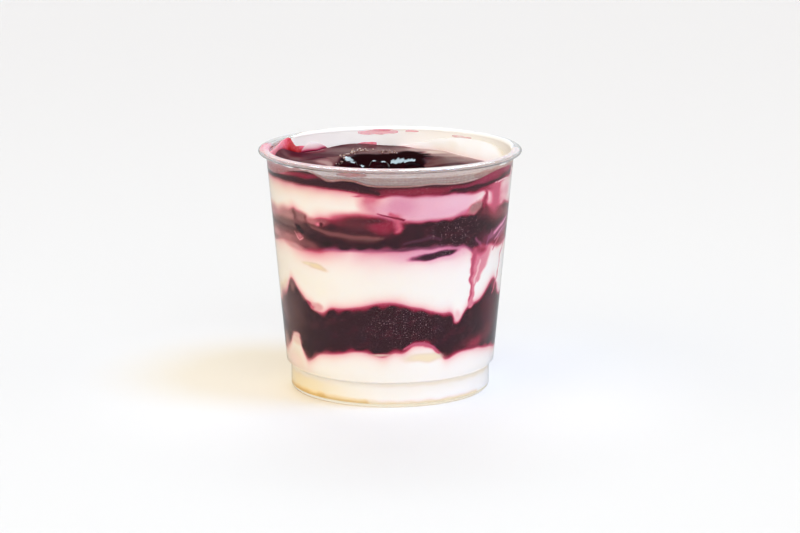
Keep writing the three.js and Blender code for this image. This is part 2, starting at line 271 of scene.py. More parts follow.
for name, (colour, strength, heading, climb, spread) in SUNS.items():
    sun = add_lamp(name, "SUN", colour, strength, angle=math.radians(spread))
    sun.visible_glossy = False
    aim(sun, heading, climb)
window = add_lamp("window", "AREA", WINDOW_COLOUR, WINDOW_POWER, shape="RECTANGLE",
                  size=WINDOW_SIZE[0], size_y=WINDOW_SIZE[1])
window.visible_diffuse = False
window.visible_camera = False
aim(window, WINDOW_HEADING, WINDOW_CLIMB, WINDOW_DISTANCE)
print(f"light: {len(SUNS)} soft suns and a window lamp")

# %% [markdown]
# ## The cup's own measures
#
# Everything below is worked out in millimetres from the same few sizes as the CAD model. Angles run
# round the cup's axis in degrees: 0 is the front, 90 the right side.

# %% Sizes of the cup
CUP_HEIGHT = 72.2
LIP_RADIUS, LIP_HALF_WIDTH, LIP_HALF_HEIGHT = 39.0, 1.6, 0.8
WALL, FLARE, WALL_RADIUS_AT_TABLE = 0.9, 0.0918, 30.25
BASE_RADIUS, BASE_EDGE = 29.7, 1.2
LEDGE_LOW, LEDGE_HIGH = 7.6, 8.5
FOOT_RECESS, FOOT_INNER = 0.4, 25.8
FLOOR_HEIGHT, FLOOR_FILLET = 1.1, 0.9
BITE = 0.1            # how far the food reaches into the wall
LIP_SKIN = 0.35
LIP_CENTRE = LIP_RADIUS - LIP_HALF_WIDTH
LIP_HEIGHT = CUP_HEIGHT - LIP_HALF_HEIGHT
print(f"sizes: {2 * LIP_RADIUS} mm across the lip, {2 * BASE_RADIUS} mm across the base")


def outer_radius(height):
    return WALL_RADIUS_AT_TABLE + FLARE * height


def inner_radius(height):
    return outer_radius(height) - WALL


def on_circle(angles, radii, heights):
    """Points of the cup's space from angle, radius and height; the arrays may have any shape."""
    turn = np.radians(angles)
    radii, heights = np.broadcast_to(radii, turn.shape), np.broadcast_to(heights, turn.shape)
    return np.stack([radii * np.sin(turn), -radii * np.cos(turn), heights], -1)


# %% [markdown]
# ## Meshes from rings
#
# A cup, a band of cream and a pool of compote are all round things that can be described ring by
# ring, from the middle of the underside, up the side and back to the middle of the top. One helper
# turns such a stack of rings into a closed mesh. Numbers that a material needs later, such as how
# stained a point is, are stored on the points as named attributes.

# %% Ring helper
def make_object(name, points, faces, masks, merge=0.004):
    """A smooth mesh object from points in mm, lists of faces and a number a point for each mask."""
    mesh = bpy.data.meshes.new(name)
    mesh.from_pydata((points * MM).tolist(), [], faces)
    for mask, values in masks.items():
        layer = mesh.attributes.new(mask, "FLOAT", "POINT")
        layer.data.foreach_set("value", np.ascontiguousarray(values, np.float32).ravel())
    cleaner = bmesh.new()
    cleaner.from_mesh(mesh)
    bmesh.ops.remove_doubles(cleaner, verts=cleaner.verts, dist=merge * MM)
    bmesh.ops.dissolve_degenerate(cleaner, edges=cleaner.edges, dist=0.0005 * MM)
    bmesh.ops.recalc_face_normals(cleaner, faces=cleaner.faces)
    cleaner.to_mesh(mesh)
    cleaner.free()
    mesh.shade_smooth()
    thing = bpy.data.objects.new(name, mesh)
    bpy.context.scene.collection.objects.link(thing)
    return thing


def ring_object(name, rings, low_point, high_point, masks=None):
    """A closed mesh through rings (row, column, xyz), closed by a point on the axis at each end."""
    rows, columns, _ = rings.shape
    points = np.concatenate([rings.reshape(-1, 3), [[0, 0, low_point], [0, 0, high_point]]])
    step = np.arange(columns)
    after = (step + 1) % columns
    faces = []
    for row in range(rows - 1):
        low, high = row * columns, (row + 1) * columns
        faces += np.stack([low + step, low + after, high + after, high + step], -1).tolist()
    bottom, top = rows * columns, rows * columns + 1
    last = (rows - 1) * columns
    faces += np.stack([np.full(columns, bottom), after, step], -1).tolist()
    faces += np.stack([np.full(columns, top), last + step, last + after], -1).tolist()
    filled = {}
    for mask, values in (masks or {}).items():
        filled[mask] = np.concatenate([values.ravel(), [values[0].mean(), values[-1].mean()]])
    return make_object(name, points, faces, filled)


# %% [markdown]
# ## The clear cup
#
# A thin moulded cup is a turned shape, so a half section is drawn once and spun. Round edges get
# many steps and the straight wall a row every two millimetres, which keeps the smooth shading
# honest on both. The section runs from under the foot, up the outside, over the lip and down
# inside.

# %% Section of the cup
FOOT_EDGE_RISE, FOOT_EDGE_WIDTH = 0.12, 0.3       # the small round between recess and table
LEDGE_SOFT, LEDGE_REACH = 0.25, 0.9               # how softly the ledge starts, how far it goes
INSIDE_HIGH, INSIDE_LOW, INSIDE_LEDGE = 70.6, 8.9, 8.0


def arc(radius, height, across, upward, start, end, steps):
    turns = [math.radians(start + (end - start) * i / steps) for i in range(steps + 1)]
    return [(radius + across * math.cos(t), height + upward * math.sin(t)) for t in turns]


def straight(start, end, step=2.0):
    count = max(2, round(math.dist(start, end) / step))
    return [tuple(a + (b - a) * i / count for a, b in zip(start, end)) for i in range(1, count)]


def cup_section():
    base_inner = BASE_RADIUS - WALL
    under_lip = LIP_HEIGHT - LIP_HALF_HEIGHT
    under_ledge = (BASE_RADIUS, LEDGE_LOW - LEDGE_SOFT)
    outside_low = (outer_radius(LEDGE_HIGH), LEDGE_HIGH)
    outside_high = (outer_radius(under_lip), under_lip)
    inside_high = (inner_radius(INSIDE_HIGH), INSIDE_HIGH)
    inside_low = (inner_radius(INSIDE_LOW), INSIDE_LOW)
    base_high, corner = (base_inner, LEDGE_LOW), (base_inner, FLOOR_HEIGHT + FLOOR_FILLET)
    foot = [*((radius, FOOT_RECESS) for radius in (FOOT_INNER * 0.5, FOOT_INNER - 0.3, FOOT_INNER)),
            *arc(FOOT_INNER + FOOT_RECESS, FOOT_EDGE_RISE, FOOT_EDGE_WIDTH, FOOT_EDGE_RISE,
                 180, 270, 4),
            *arc(BASE_RADIUS - BASE_EDGE, BASE_EDGE, BASE_EDGE, BASE_EDGE, -90, 0, 9)]
    outside = [*straight((BASE_RADIUS, BASE_EDGE), under_ledge), under_ledge,
               (BASE_RADIUS + 0.1, LEDGE_LOW), (BASE_RADIUS + LEDGE_REACH, LEDGE_HIGH - 0.2),
               outside_low, *straight(outside_low, outside_high), outside_high]
    lip = arc(LIP_CENTRE, LIP_HEIGHT, LIP_HALF_WIDTH, LIP_HALF_HEIGHT, -90, 180, 30)
    inside = [inside_high, *straight(inside_high, inside_low), inside_low,
              (base_inner + 0.1, INSIDE_LEDGE), base_high, *straight(base_high, corner)]
    floor = [*arc(corner[0] - FLOOR_FILLET, corner[1], FLOOR_FILLET, FLOOR_FILLET, 0, -90, 8),
             (base_inner * 0.5, FLOOR_HEIGHT)]
    return foot + outside + lip + inside + floor


print(f"section: {len(cup_section())} points")

# %% Turn the cup
CUP_COLUMNS = 240


def turned_rings(section, columns):
    angles = np.arange(columns) * 360 / columns
    return np.stack([on_circle(angles, radius, height) for radius, height in section])


def hollow_lip(shell):
    """The lip is rolled, so a ring of air is left inside it: a tube with its faces inwards."""
    across, upward = LIP_HALF_WIDTH - LIP_SKIN, LIP_HALF_HEIGHT - LIP_SKIN
    loop = arc(LIP_CENTRE, LIP_HEIGHT, across, upward, 0, 360, 24)[:-1]
    rings = turned_rings(loop, CUP_COLUMNS) * MM
    tube = bmesh.new()
    tube.from_mesh(shell.data)
    rows = [[tube.verts.new(point) for point in ring] for ring in rings]
    for low, high in zip(rows, rows[1:] + rows[:1]):
        for i in range(CUP_COLUMNS):
            j = (i + 1) % CUP_COLUMNS
            tube.faces.new((low[i], high[i], high[j], low[j])).smooth = True
    tube.to_mesh(shell.data)
    tube.free()


cup = ring_object("clear_cup", turned_rings(cup_section(), CUP_COLUMNS), FOOT_RECESS, FLOOR_HEIGHT)
hollow_lip(cup)
cup_top = max(point.co.z for point in cup.data.vertices) / MM
print(f"cup: {len(cup.data.polygons)} faces, {cup_top:.1f} mm high")

# %% [markdown]
# ## The wavy lines between the bands
#
# Where one band ends and the next begins, its line on the wall swells and sags. Each line is a
# level plus a few swells: a rise at an angle that fades to its left and right. These are the same
# swells as in the CAD source, so the dressed bands are where the solids are.

# %% Lines on the wall
# Each swell: angle, rise in mm, fade to the left and to the right in degrees, sharpness
LINES = {
    "cream_base": (15.5, 15.5, [
        (-79, -2.8, 11, 6, 2), (-60.5, 3.7, 6.5, 4.4, 2.6), (-51, -3.7, 3.6, 7, 1.7),
        (-15, 1.8, 12, 8, 2), (3, 1.6, 4.5, 5, 2), (17, 4.1, 8.5, 9.5, 3), (31, -1.4, 4, 5, 2),
        (49, 0.7, 8, 8, 2), (88, -2.5, 20, 14, 2), (126, 2.6, 16, 14, 2), (164, -1.6, 12, 15, 2),
        (-146, 2.3, 18, 16, 2), (-112, -1.2, 12, 10, 2)]),
    "compote_lower": (31, 29.3, [
        (-81, -2.2, 9, 8, 2), (-60.5, 6.6, 5.5, 9, 1.7), (-38, -1.9, 5, 4.5, 2.5),
        (0, 2.5, 16, 14, 2), (29, -1.4, 8, 6, 2), (38, -3.9, 3.8, 4.4, 2.2), (66, 5.7, 9.5, 6, 2),
        (112, -2.4, 14, 12, 2), (148, 3, 16, 14, 2), (-142, -1.6, 16, 14, 2),
        (-106, 2.4, 11, 8, 2)]),
    "cream_middle": (46, 47.2, [
        (-80, -1.2, 8, 7, 2), (-61, 0.9, 6, 6, 2), (-44, -0.9, 8, 10, 2), (14, 0.8, 28, 24, 2.4),
        (48, -2.1, 6, 9, 2.5), (64, 0.6, 3.5, 3.5, 2), (81, -1.2, 9, 10, 2), (122, 1.7, 18, 16, 2),
        (160, -1.8, 13, 14, 2), (-150, 1.3, 16, 15, 2), (-112, -1.4, 12, 12, 2)]),
    "compote_middle": (54, 56.4, [
        (-74, -2.2, 14, 12, 2.6), (-53, 1.2, 4, 3.4, 2), (-42.5, -1.9, 4.5, 5, 2),
        (-22, -0.7, 12, 10, 3), (-3, 1.5, 6, 5, 2), (20, 0.3, 11, 13, 4), (37, 1, 5, 7, 3),
        (49.8, 3.7, 3.6, 4.6, 2.4), (69.5, 2, 7, 7, 2), (104, -1.4, 12, 11, 2),
        (140, 2.1, 16, 15, 2), (176, -1.4, 13, 12, 2), (-140, 1.8, 15, 14, 2)]),
    "cream_upper": (57.4, 65.6, [
        (-9, -1.7, 6.5, 8, 2), (4, -0.6, 6, 8, 2), (20, -2.2, 16, 26, 3), (49, -1.5, 14, 18, 2.4),
        (132, 4.6, 34, 36, 3), (-137, 3.6, 12, 9, 2)]),
    "contact": (66.5, 66.5, [
        (-41, 3.3, 19, 9, 2.2), (-20, 1.5, 8, 8, 2.4), (20, 0.4, 6, 6, 2), (68, 2.3, 21, 14, 3),
        (-112, 3.4, 11, 13, 2), (-160, 1.1, 13, 12, 2.4)]),
    "bank": (0, -0.3, [(124, 9.2, 27, 29, 2.6), (166, 3, 14, 9, 2), (-137, 2.6, 8, 7, 2)]),
}


def degrees_from(at, angles):
    return (angles - at + 540) % 360 - 180


def swell_sum(angles, swells):
    total = np.zeros_like(angles, float)
    for at, rise, left, right, power in swells:
        away = degrees_from(at, angles)
        total += rise * np.exp(-((np.abs(away) / np.where(away < 0, left, right)) ** power))
    return total


def wall_line(name, angles):
    _, level, swells = LINES[name]
    return level + swell_sum(angles, swells)


for name in LINES:
    if name != "bank":
        print(f"{name}: {wall_line(name, np.zeros(1))[0]:.1f} mm up at the front")

# %% [markdown]
# ## Painting the juice
#
# Juice bleeds from the compote into the cream: first crimson, then pink or mauve. It would be
# possible to do this with noise in the material alone, but the real cup has marks in given places,
# such as the drip at the right and the lens of compote at the front. So each point of the food is
# given two numbers: its stain, from 0 for clean cream to 1 for solid compote, and its tone, a place
# on a row of hues from mauve through crimson and brown to gold. The material turns the pair into a
# colour. A third number says where fine pale specks show. Noise is left with the
# small work: it makes the edges of every mark uneven.

# %% Paint helpers
DEGREE = 0.576        # millimetres of wall in one degree at half height
MAUVE, CRIMSON, BROWN, GOLD = 0.0, 0.5, 1.0, 1.5


def smooth_step(x, low, high):
    share = np.clip((x - low) / (high - low), 0, 1)
    return share * share * (3 - 2 * share)


def waves(u, v, seed, scale, count=7):
    """Smooth noise between about -1 and 1 from a few crossed waves."""
    draw = np.random.default_rng(seed)
    total = np.zeros(np.broadcast(u, v).shape)
    for _ in range(count):
        turns, heading, phase = draw.uniform(0.5, 1.5) / scale, *draw.uniform(0, 2 * np.pi, 2)
        total += np.sin(2 * np.pi * turns * (u * np.cos(heading) + v * np.sin(heading)) + phase)
    return total / np.sqrt(count * 1.6)


# %% Shapes of the marks
def turned(u, v, angle):
    """The same places, read from axes that are turned by an angle in degrees."""
    c, s = math.cos(math.radians(angle)), math.sin(math.radians(angle))
    return u * c + v * s, v * c - u * s


def oval(u, v, half_length, half_height, tilt, soft):
    """1 inside a tilted oval round the origin, fading to 0 over its soft rim."""
    along, across = turned(u, v, tilt)
    reach = np.hypot(along / half_length, across / half_height)
    return 1 - smooth_step(reach, 1 - soft, 1 + soft)


def strand(u, v, route, soft):
    """1 along a route of (u, v, half width) points, fading to 0 at its sides."""
    near = np.full(np.broadcast(u, v).shape, 9.0)
    for (x, y, width), (end_x, end_y, end_width) in zip(route, route[1:]):
        dx, dy = end_x - x, end_y - y
        share = np.clip(((u - x) * dx + (v - y) * dy) / (dx * dx + dy * dy), 0, 1)
        away = np.hypot(u - x - share * dx, v - y - share * dy)
        near = np.minimum(near, away / (width + (end_width - width) * share))
    return 1 - smooth_step(near, 1 - soft, 1 + soft)


def wall_oval(angles, heights, at, height, *shape):
    return oval(degrees_from(at, angles) * DEGREE, heights - height, *shape)


def wall_strand(angles, heights, route, soft):
    route = [(at * DEGREE, height, width) for at, height, width in route]
    return strand(angles * DEGREE, heights, route, soft)


def toward(values, targets, mask):
    """Each value moved to its target as far as the mask says."""
    return [value + (target - value) * mask for value, target in zip(values, targets)]


def mixed_tone(tone, stain, hue, amount):
    """The tone where two stains lie over each other, each counting by its strength."""
    return (tone * stain + hue * amount) / (stain + amount + 1e-6)


# %% [markdown]
# ### Where juice bleeds
#
# Along a line the juice soaks into the cream beside it and grows fainter with the distance. How
# strong it is changes round the cup, which the same kind of swells can say.

# %% Bleeding along the lines
# Each halo: line, side of it (1 above, -1 below), stain at the line, reach in mm, tone, swells
HALOS = [
    ("cream_base", -1, 0.38, 1.5, CRIMSON, [
        (28, -0.18, 5, 5, 2), (17, 0.04, 9, 8, 4), (-61, -0.2, 5, 5, 2)]),
    ("compote_lower", 1, 0.44, 1.3, 0.42, [
        (-3, 0.16, 14, 12, 3), (62, 0.16, 8, 8, 2), (-38, 0.06, 8, 8, 2)]),
    ("cream_middle", -1, 0.28, 2.6, 0.45, [(-42, 0.28, 20, 20, 3)]),
    ("cream_middle", -1, 0.0, 3.0, 0.12, [(12, 0.55, 36, 32, 5)]),
    ("compote_middle", 1, 0.44, 1.6, 0.42, [(-28, 0.08, 9, 8, 2)]),
    ("cream_upper", -1, 0.0, 2.1, 0.56, [(-46, 0.50, 44, 42, 6), (68, 0.30, 10, 20, 4)]),
    ("cream_upper", -1, 0.0, 1.6, 0.35, [(14, 0.48, 38, 42, 4)]),
]
EDGE_RIM, EDGE_RIM_REACH = 0.06, 0.5       # the crimson line where juice meets cream
# Painted warm light: the cream at the left is tinted gold as if lit by the warm fill from that side
LEFT_WARM_LIGHT, LEFT_WARM_LIGHT_TONE = 0.03, 1.3          # how far the cream at the left leans to gold
print(f"{len(HALOS)} halos along {len({halo[0] for halo in HALOS})} lines")

# %% [markdown]
# ### Marks in given places
#
# A mark is either an oval patch or a strand along a route. Later marks lie over earlier ones, as a
# painter would lay them, so the lists go from broad and soft to small and sharp in each region.

# %% Patches
# Each patch: angle, height, half length, half height, tilt, soft rim, stain, tone
PATCHES = [
    # Middle compote, left: a pale veil, a dark line through it, a black hole and a pink knot
    (-76, 54.8, 8.0, 2.2, 0, 0.8, 0.49, 0.80), (-58, 55.4, 5.0, 2.2, 0, 0.8, 0.52, 0.85),
    (-60, 53.0, 8.0, 1.1, -2, 0.9, 0.70, 0.95), (-66, 51.1, 9.0, 0.9, 0, 0.8, 0.78, 0.90),
    (-74, 48.6, 6.0, 1.8, 0, 0.9, 0.48, 0.80), (-59, 48.7, 4.6, 1.6, -4, 0.9, 0.55, 0.80),
    (-50, 48.7, 3.4, 1.9, -8, 0.8, 0.62, 0.80), (-42.5, 47.8, 3.6, 1.2, -8, 0.9, 0.72, 0.80),
    (-54, 46.4, 3.4, 0.8, -4, 0.9, 0.42, 0.75), (-46.5, 55.6, 2.4, 1.6, 0, 0.6, 0.62, 0.85),
    (-52, 55.8, 0.5, 1.7, 4, 0.8, 0.74, 0.85), (-43.4, 55.2, 0.5, 1.3, 24, 0.8, 0.80, 0.80),
    (-39.5, 55.0, 2.2, 1.1, -10, 0.8, 0.53, 0.72), (-34.0, 54.9, 2.2, 1.1, 0, 0.8, 0.60, 0.70),
    (-37.0, 54.4, 0.8, 0.6, 0, 0.8, 0.44, 0.50), (-34.5, 54.4, 0.7, 0.6, 0, 0.6, 0.90, 0.60),
    (-49.8, 52.4, 1.7, 0.7, -28, 0.5, 1.12, 0.60), (-47.2, 51.3, 0.7, 0.7, 0, 0.6, 1.08, 0.60),
    (-49.2, 49.9, 1.3, 0.8, -10, 0.8, 0.52, 0.66), (-31.8, 48.9, 1.4, 0.6, 0, 0.6, 1.10, 0.55),
    # Middle compote, centre: a red-brown lobe with a pink rim, and a faint streak beside it
    (-14, 55.8, 7.5, 2.6, -3, 0.7, 0.82, 0.60), (-3, 55.4, 4.2, 3.0, -10, 0.6, 0.70, 0.50),
    (-8, 56.6, 3.6, 0.8, 6, 0.8, 0.84, 0.55), (15, 48.3, 8, 0.5, 2, 0.8, 0.86, 0.15),
    # Middle compote, right: brown-red top and a mauve veil
    (64, 55.8, 7.0, 2.6, -10, 0.7, 0.71, 0.66), (80, 53.8, 4.5, 2.0, -15, 0.7, 0.69, 0.72),
    (52, 57.0, 2.6, 1.4, 0, 0.8, 0.78, 0.60), (38, 58.0, 2.8, 0.8, 20, 0.8, 0.60, 0.50),
    (73, 48.6, 4.6, 2.0, 14, 0.9, 0.66, 0.40), (74, 46.3, 4.0, 1.2, 8, 0.8, 0.66, 0.55),
    (64, 46.8, 3.0, 1.2, 0, 0.8, 0.76, 0.50), (56, 48.4, 4.6, 1.8, 8, 0.9, 0.77, 0.35),
    # Upper cream: a crimson column, the mauve pool, a speckled spot and the drip at the right
    (-9, 62.4, 2.6, 2.0, 0, 0.8, 0.48, 0.45), (-8, 60.2, 2.9, 1.7, 0, 0.8, 0.44, 0.40),
    (-7, 64.3, 2.8, 0.8, 0, 0.8, 0.70, 0.50), (-14, 63.9, 1.6, 0.25, 8, 0.8, 0.55, 0.50),
    (19, 60.1, 14.0, 3.5, 1, 0.4, 0.33, 0.03), (5, 60.8, 4.4, 3.0, 0, 0.7, 0.43, 0.05),
    (33, 61.2, 5.0, 1.8, 0, 0.8, 0.28, 0.03),
    (44.8, 58.8, 2.7, 1.5, 28, 0.5, 0.56, 0.85), (66, 58.6, 2.4, 1.0, 0, 0.8, 0.34, 0.50),
    (72, 61.4, 3.4, 2.2, 0, 0.8, 0.34, 0.45),
    # Middle cream: beige mark and the dark lens
    (-39, 41.5, 3.4, 0.75, -10, 0.6, 0.24, 1.3), (-46, 42.1, 1.4, 0.4, 0, 0.8, 0.18, 1.3),
    (21, 46.1, 8.5, 1.8, 2, 0.8, 0.40, 0.0), (22.5, 45.9, 6.5, 1.0, 7, 0.45, 0.97, 0.15),
    (30, 46.4, 2.0, 0.5, 8, 0.6, 1.03, 0.3),
    # Lower compote: haze at the left, pink blob, tongue, thin red corner at the right
    (-71, 25.4, 5.6, 3.4, -60, 0.8, 0.66, 0.95), (-62, 26, 6, 6.0, 0, 0.8, 0.84, 0.95),
    (-66, 20.4, 5, 1.5, 14, 0.7, 0.86, 0.95), (-76, 15.6, 3.2, 2.6, 40, 0.7, 0.62, 0.95),
    (-60, 33.8, 1.8, 1.7, 60, 0.7, 0.66, 0.9), (-41, 29.2, 2.4, 1.2, 8, 0.5, 0.34, 0.60),
    (-43.5, 28.8, 0.8, 0.5, 0, 0.5, 0.50, 0.55), (-46, 29.8, 1.2, 0.6, -30, 0.6, 0.62, 0.5),
    (53, 17.9, 6.5, 2.0, 4, 0.6, 0.80, 0.55), (52.5, 17.4, 3.0, 1.2, 4, 0.7, 0.70, 0.52),
    (66, 20.5, 4.5, 3.0, 30, 0.7, 0.80, 0.6), (66, 26.5, 5.0, 5.0, 0, 0.8, 0.86, 0.5),
    (37.3, 26.6, 1.4, 1.7, 0, 0.6, 0.24, 0.45), (68, 33.0, 2.6, 1.6, -40, 0.7, 0.74, 0.6),
    # Base cream marks, painted shade below and beside the crimson arch at the front, and painted
    # golden light in the corner of the foot
    (-61, 17.6, 2.8, 1.6, 0, 0.6, 0.20, 0.75), (-60, 18.9, 1.8, 0.7, 0, 0.7, 0.28, 0.7),
    (19, 15.2, 5.6, 1.3, 0, 0.6, 0.16, 1.35), (-5, 16.3, 2.8, 0.4, 0, 0.8, 0.30, 0.9),
    (-62, 4.2, 16, 3.6, 0, 0.9, 0.14, GOLD), (-66, 10.5, 8, 3.4, 0, 0.9, 0.13, 0.60),
    # Compote at the top
    (14, 65.2, 14, 1.2, 0, 0.7, 0.72, 0.52), (40, 65.4, 8, 1.0, 2, 0.7, 0.74, 0.45),
    (54, 67.4, 7, 1.5, 12, 0.7, 0.68, 0.40), (72, 68.4, 6, 1.6, 6, 0.7, 0.64, 0.40),
    (-44, 68.2, 7.0, 1.1, 2, 0.6, 0.72, 0.50), (-66, 67.6, 7.0, 0.8, 4, 0.7, 0.50, 0.6),
]
print(f"{len(PATCHES)} patches")

# %% Strands
# Each strand: route of (angle, height, half width), soft rim, stain, tone
STRANDS = [
    # Pale streak through the middle compote, and the pink rim of the lobe
    ([(-42, 53.7, 0.4), (-37, 52.9, 0.7), (-32, 52.2, 0.9), (-26, 51.8, 0.9), (-19.6, 51.4, 1.1),
      (-10.4, 51.2, 1.0), (-3, 51.4, 0.5)], 0.98, 0.77, 0.88),
    ([(-40, 53.2, 0.3), (-34, 52.4, 0.4), (-26, 51.9, 0.5), (-16, 51.5, 0.4), (-5, 51.6, 0.3)],
     0.98, 0.70, 0.80),
    # Pale line round the pink knot
    ([(-53, 51.0, 0.12), (-51.5, 49.6, 0.16), (-49, 48.8, 0.16), (-46.6, 49.6, 0.12)],
     0.9, 0.36, 0.60),
    ([(7, 49.8, 0.35), (14, 50.6, 0.45), (20, 51.6, 0.7), (25, 50.3, 0.45)], 0.95, 0.88, 0.15),
    ([(0.5, 58.6, 0.6), (3.2, 57.4, 1.1), (4.4, 55.4, 1.2), (4.2, 53.6, 0.8)], 0.98, 0.53, 0.46),
    # Dark fold over the lobe
    ([(-6, 58.9, 0.12), (-1, 58.1, 0.2), (3, 57.4, 0.25), (7, 56.7, 0.3)], 0.9, 0.76, 0.5),
    # Fine pale strokes at the right, where the drip leaves the middle compote
    ([(84, 53.0, 0.6), (72, 51.4, 1.1), (63, 49.7, 1.2), (58, 48.8, 0.7)], 0.98, 0.66, 0.05),
    ([(84, 50.8, 0.5), (74, 49.6, 0.7), (67, 47.8, 0.5)], 0.98, 0.66, 0.05),
    ([(78, 52.6, 0.2), (70, 51.2, 0.4), (62, 49.6, 0.3)], 0.98, 0.44, 0.05),
    ([(74, 50.4, 0.2), (68, 48.8, 0.35), (63, 47.4, 0.2)], 0.98, 0.54, 0.05),
    ([(60, 50.8, 0.3), (57, 48.4, 0.45), (56, 46.4, 0.3)], 0.98, 0.68, 0.05),
    ([(46.5, 49.6, 0.3), (49, 47.6, 0.45), (52, 46.0, 0.4)], 0.98, 0.70, 0.05),
    # Red column in the upper cream, darker at its top and left
    ([(50, 64.4, 0.9), (56, 63.8, 1.2), (62, 63.2, 1.0)], 0.9, 0.68, 0.50),
    ([(60, 63.4, 3.0), (60.5, 61.0, 3.3), (60.5, 59.0, 2.6)], 0.8, 0.54, 0.48),
    ([(51, 62.8, 0.6), (51.4, 60.6, 0.9), (51, 58.8, 0.8)], 0.9, 0.66, 0.50),
    ([(67, 47.6, 0.3), (64, 46.0, 0.4), (62, 44.6, 0.3)], 0.9, 0.56, 0.35),
    # Drip down the middle cream, with its darker left side and pale inner lines
    ([(52, 43.6, 3.3), (51, 42.6, 3.2), (48.6, 40, 2.4), (47, 36.6, 1.4), (46.4, 33.5, 1.0),
      (46.6, 29.5, 1.2)], 0.35, 0.45, 0.44),
    ([(46, 46.0, 0.9), (51, 45.6, 1.3), (56, 45.2, 0.9)], 0.9, 0.66, 0.46),
    ([(46.5, 45.2, 1.2), (46, 43.5, 1.0), (45.4, 40, 0.6), (45.2, 35, 0.4), (45.4, 31, 0.4)],
     0.7, 0.58, 0.46),
    ([(51.2, 42.4, 0.35), (49.0, 38.5, 0.4), (47.6, 35.6, 0.25)], 0.8, 0.26, 0.45),
    ([(57.5, 44.8, 1.4), (55, 42.2, 1.4), (52.4, 39.4, 1.1), (50, 36.4, 0.5)], 0.8, 0.42, 0.45),
    # Thin line at the far right of the middle cream
    ([(78, 45.4, 0.3), (73, 42.6, 0.35), (72, 38, 0.3), (71, 35.5, 0.35), (66, 31.0, 0.3)],
     0.8, 0.50, 0.45),
    # Dark lower line of the top compote, and the pale glint under it
    ([(-86, 66.2, 0.5), (-60, 66.5, 0.6), (-45, 66.6, 0.8), (-30, 66.6, 0.9), (-15, 66.0, 0.9),
      (-6, 64.9, 0.6)], 0.8, 0.98, 0.55),
    ([(30, 64.7, 0.35), (44, 64.9, 0.45), (55, 65.3, 0.4), (66, 65.9, 0.35)], 0.8, 0.98, 0.45),
    ([(59, 65.0, 0.10), (65, 65.0, 0.16), (72, 65.1, 0.12)], 0.8, 0.05, 0.3),
    # Painted shade under the ledge and along the foot, and painted golden light in the foot at the
    # left
    ([(-88, 7.2, 0.9), (-40, 7.1, 0.9), (20, 7.0, 0.8), (80, 7.0, 0.7)], 0.9, 0.04, 1.2),
    ([(-20, 1.1, 0.9), (10, 1.1, 0.9), (60, 1.1, 0.8)], 0.95, 0.14, 1.3),
    ([(-46, 1.1, 1.1), (-30, 1.1, 1.0), (-14, 1.1, 0.9)], 0.95, 0.42, 1.4),
    ([(-84, 1.1, 1.1), (-60, 1.1, 1.1), (-42, 1.1, 1.1)], 0.95, 0.50, 1.45),
    # Crimson rim of the arch at the front
    ([(7, 18.2, 0.4), (12, 19.2, 0.55), (18, 19.4, 0.6), (23, 18.3, 0.6), (27.5, 16.2, 0.4)],
     0.7, 0.56, 0.42),
]
# Each speckled field: angle, height, half length, half height, tilt, soft rim, strength
SPECK_FIELDS = [
    (8, 25, 13, 6.5, 0, 0.6, 0.60), (8, 32, 12, 2, 0, 0.8, 0.50), (46, 22, 6, 5, 0, 0.8, 0.35),
    (-25, 26, 18, 7, 0, 0.8, 0.20), (34, 53, 8, 4.5, 0, 0.5, 0.90), (12, 57, 7, 1.5, 0, 0.8, 0.5),
    (-8, 55, 8, 3, 0, 0.7, 0.4), (28, 47, 9, 2.5, 0, 0.6, 0.8), (14, 65.5, 18, 1.4, 0, 0.7, 0.4),
    (44.8, 58.8, 2.9, 1.7, 28, 0.4, 4.0), (-55, 53, 9, 4, 0, 0.7, 0.3),
    (2, 44.5, 9, 1.5, 0, 0.9, 0.4),
]
print(f"{len(STRANDS)} strands and {len(SPECK_FIELDS)} speckled fields")

# %% [markdown]
# ### Laying the paint on
#
# First comes the bleeding, then the compote's own colour between its two lines, with a crimson edge
# and a darker middle, and last the marks. Everything is read at places pushed about by a little
# noise, so that no edge is as clean as the formula behind it.

# %% Bleeding of the juice
def at_left(angles, low, high):
    """1 at the cup's left side, fading to 0 at the back and, between two angles, to the front."""
    return smooth_step(-angles, low, high) * (1 - smooth_step(-angles, 110, 160))


def bleed(angles, heights):
    """Stain and tone of the cream from the juice along the lines, before any mark, over a painted
    warm light on the left side.
    """
    stain, tone = LEFT_WARM_LIGHT * at_left(angles, 5, 80), np.full_like(heights, LEFT_WARM_LIGHT_TONE)
    uneven = 1 + 0.10 * waves(angles * DEGREE, heights, 8, 7)
    for name, side, amount, reach, hue, swells in HALOS:
        away = (heights - wall_line(name, angles)) * side
        fading = np.exp(-(np.clip(away, 0, 20) / reach) ** 1.1)
        strength = np.clip(amount + swell_sum(angles, swells), 0, 1) * fading
        strength *= (away > -1) * uneven
        tone = mixed_tone(tone, stain, hue, strength)
        stain = np.maximum(stain, strength)
    return stain, tone


# %% Paint the wall
# Each wobble of the edges: amount in mm, seed, scale in mm, number of waves
WOBBLE_ROUND = [(0.40, 3, 4.2, 7), (0.08, 4, 1.3, 16)]
WOBBLE_UP = [(0.15, 5, 7, 7), (0.03, 6, 2.2, 16)]
EDGE_WOBBLE = 0.7                          # share of the upward wobble that the lines get
OUTSIDE_BANK = 9                           # puts the bank's outside far from any compote
RIM_STAIN, DEEP_STAIN, CLOUDING = 0.62, 1.01, 0.05
LEFT_BROWN, UNDER_MAUVE = 0.35, 0.36       # how far the hue leans at the left and under a band


def wobble(u, v, rows):
    return sum(amount * waves(u, v, *noise_facts) for amount, *noise_facts in rows)


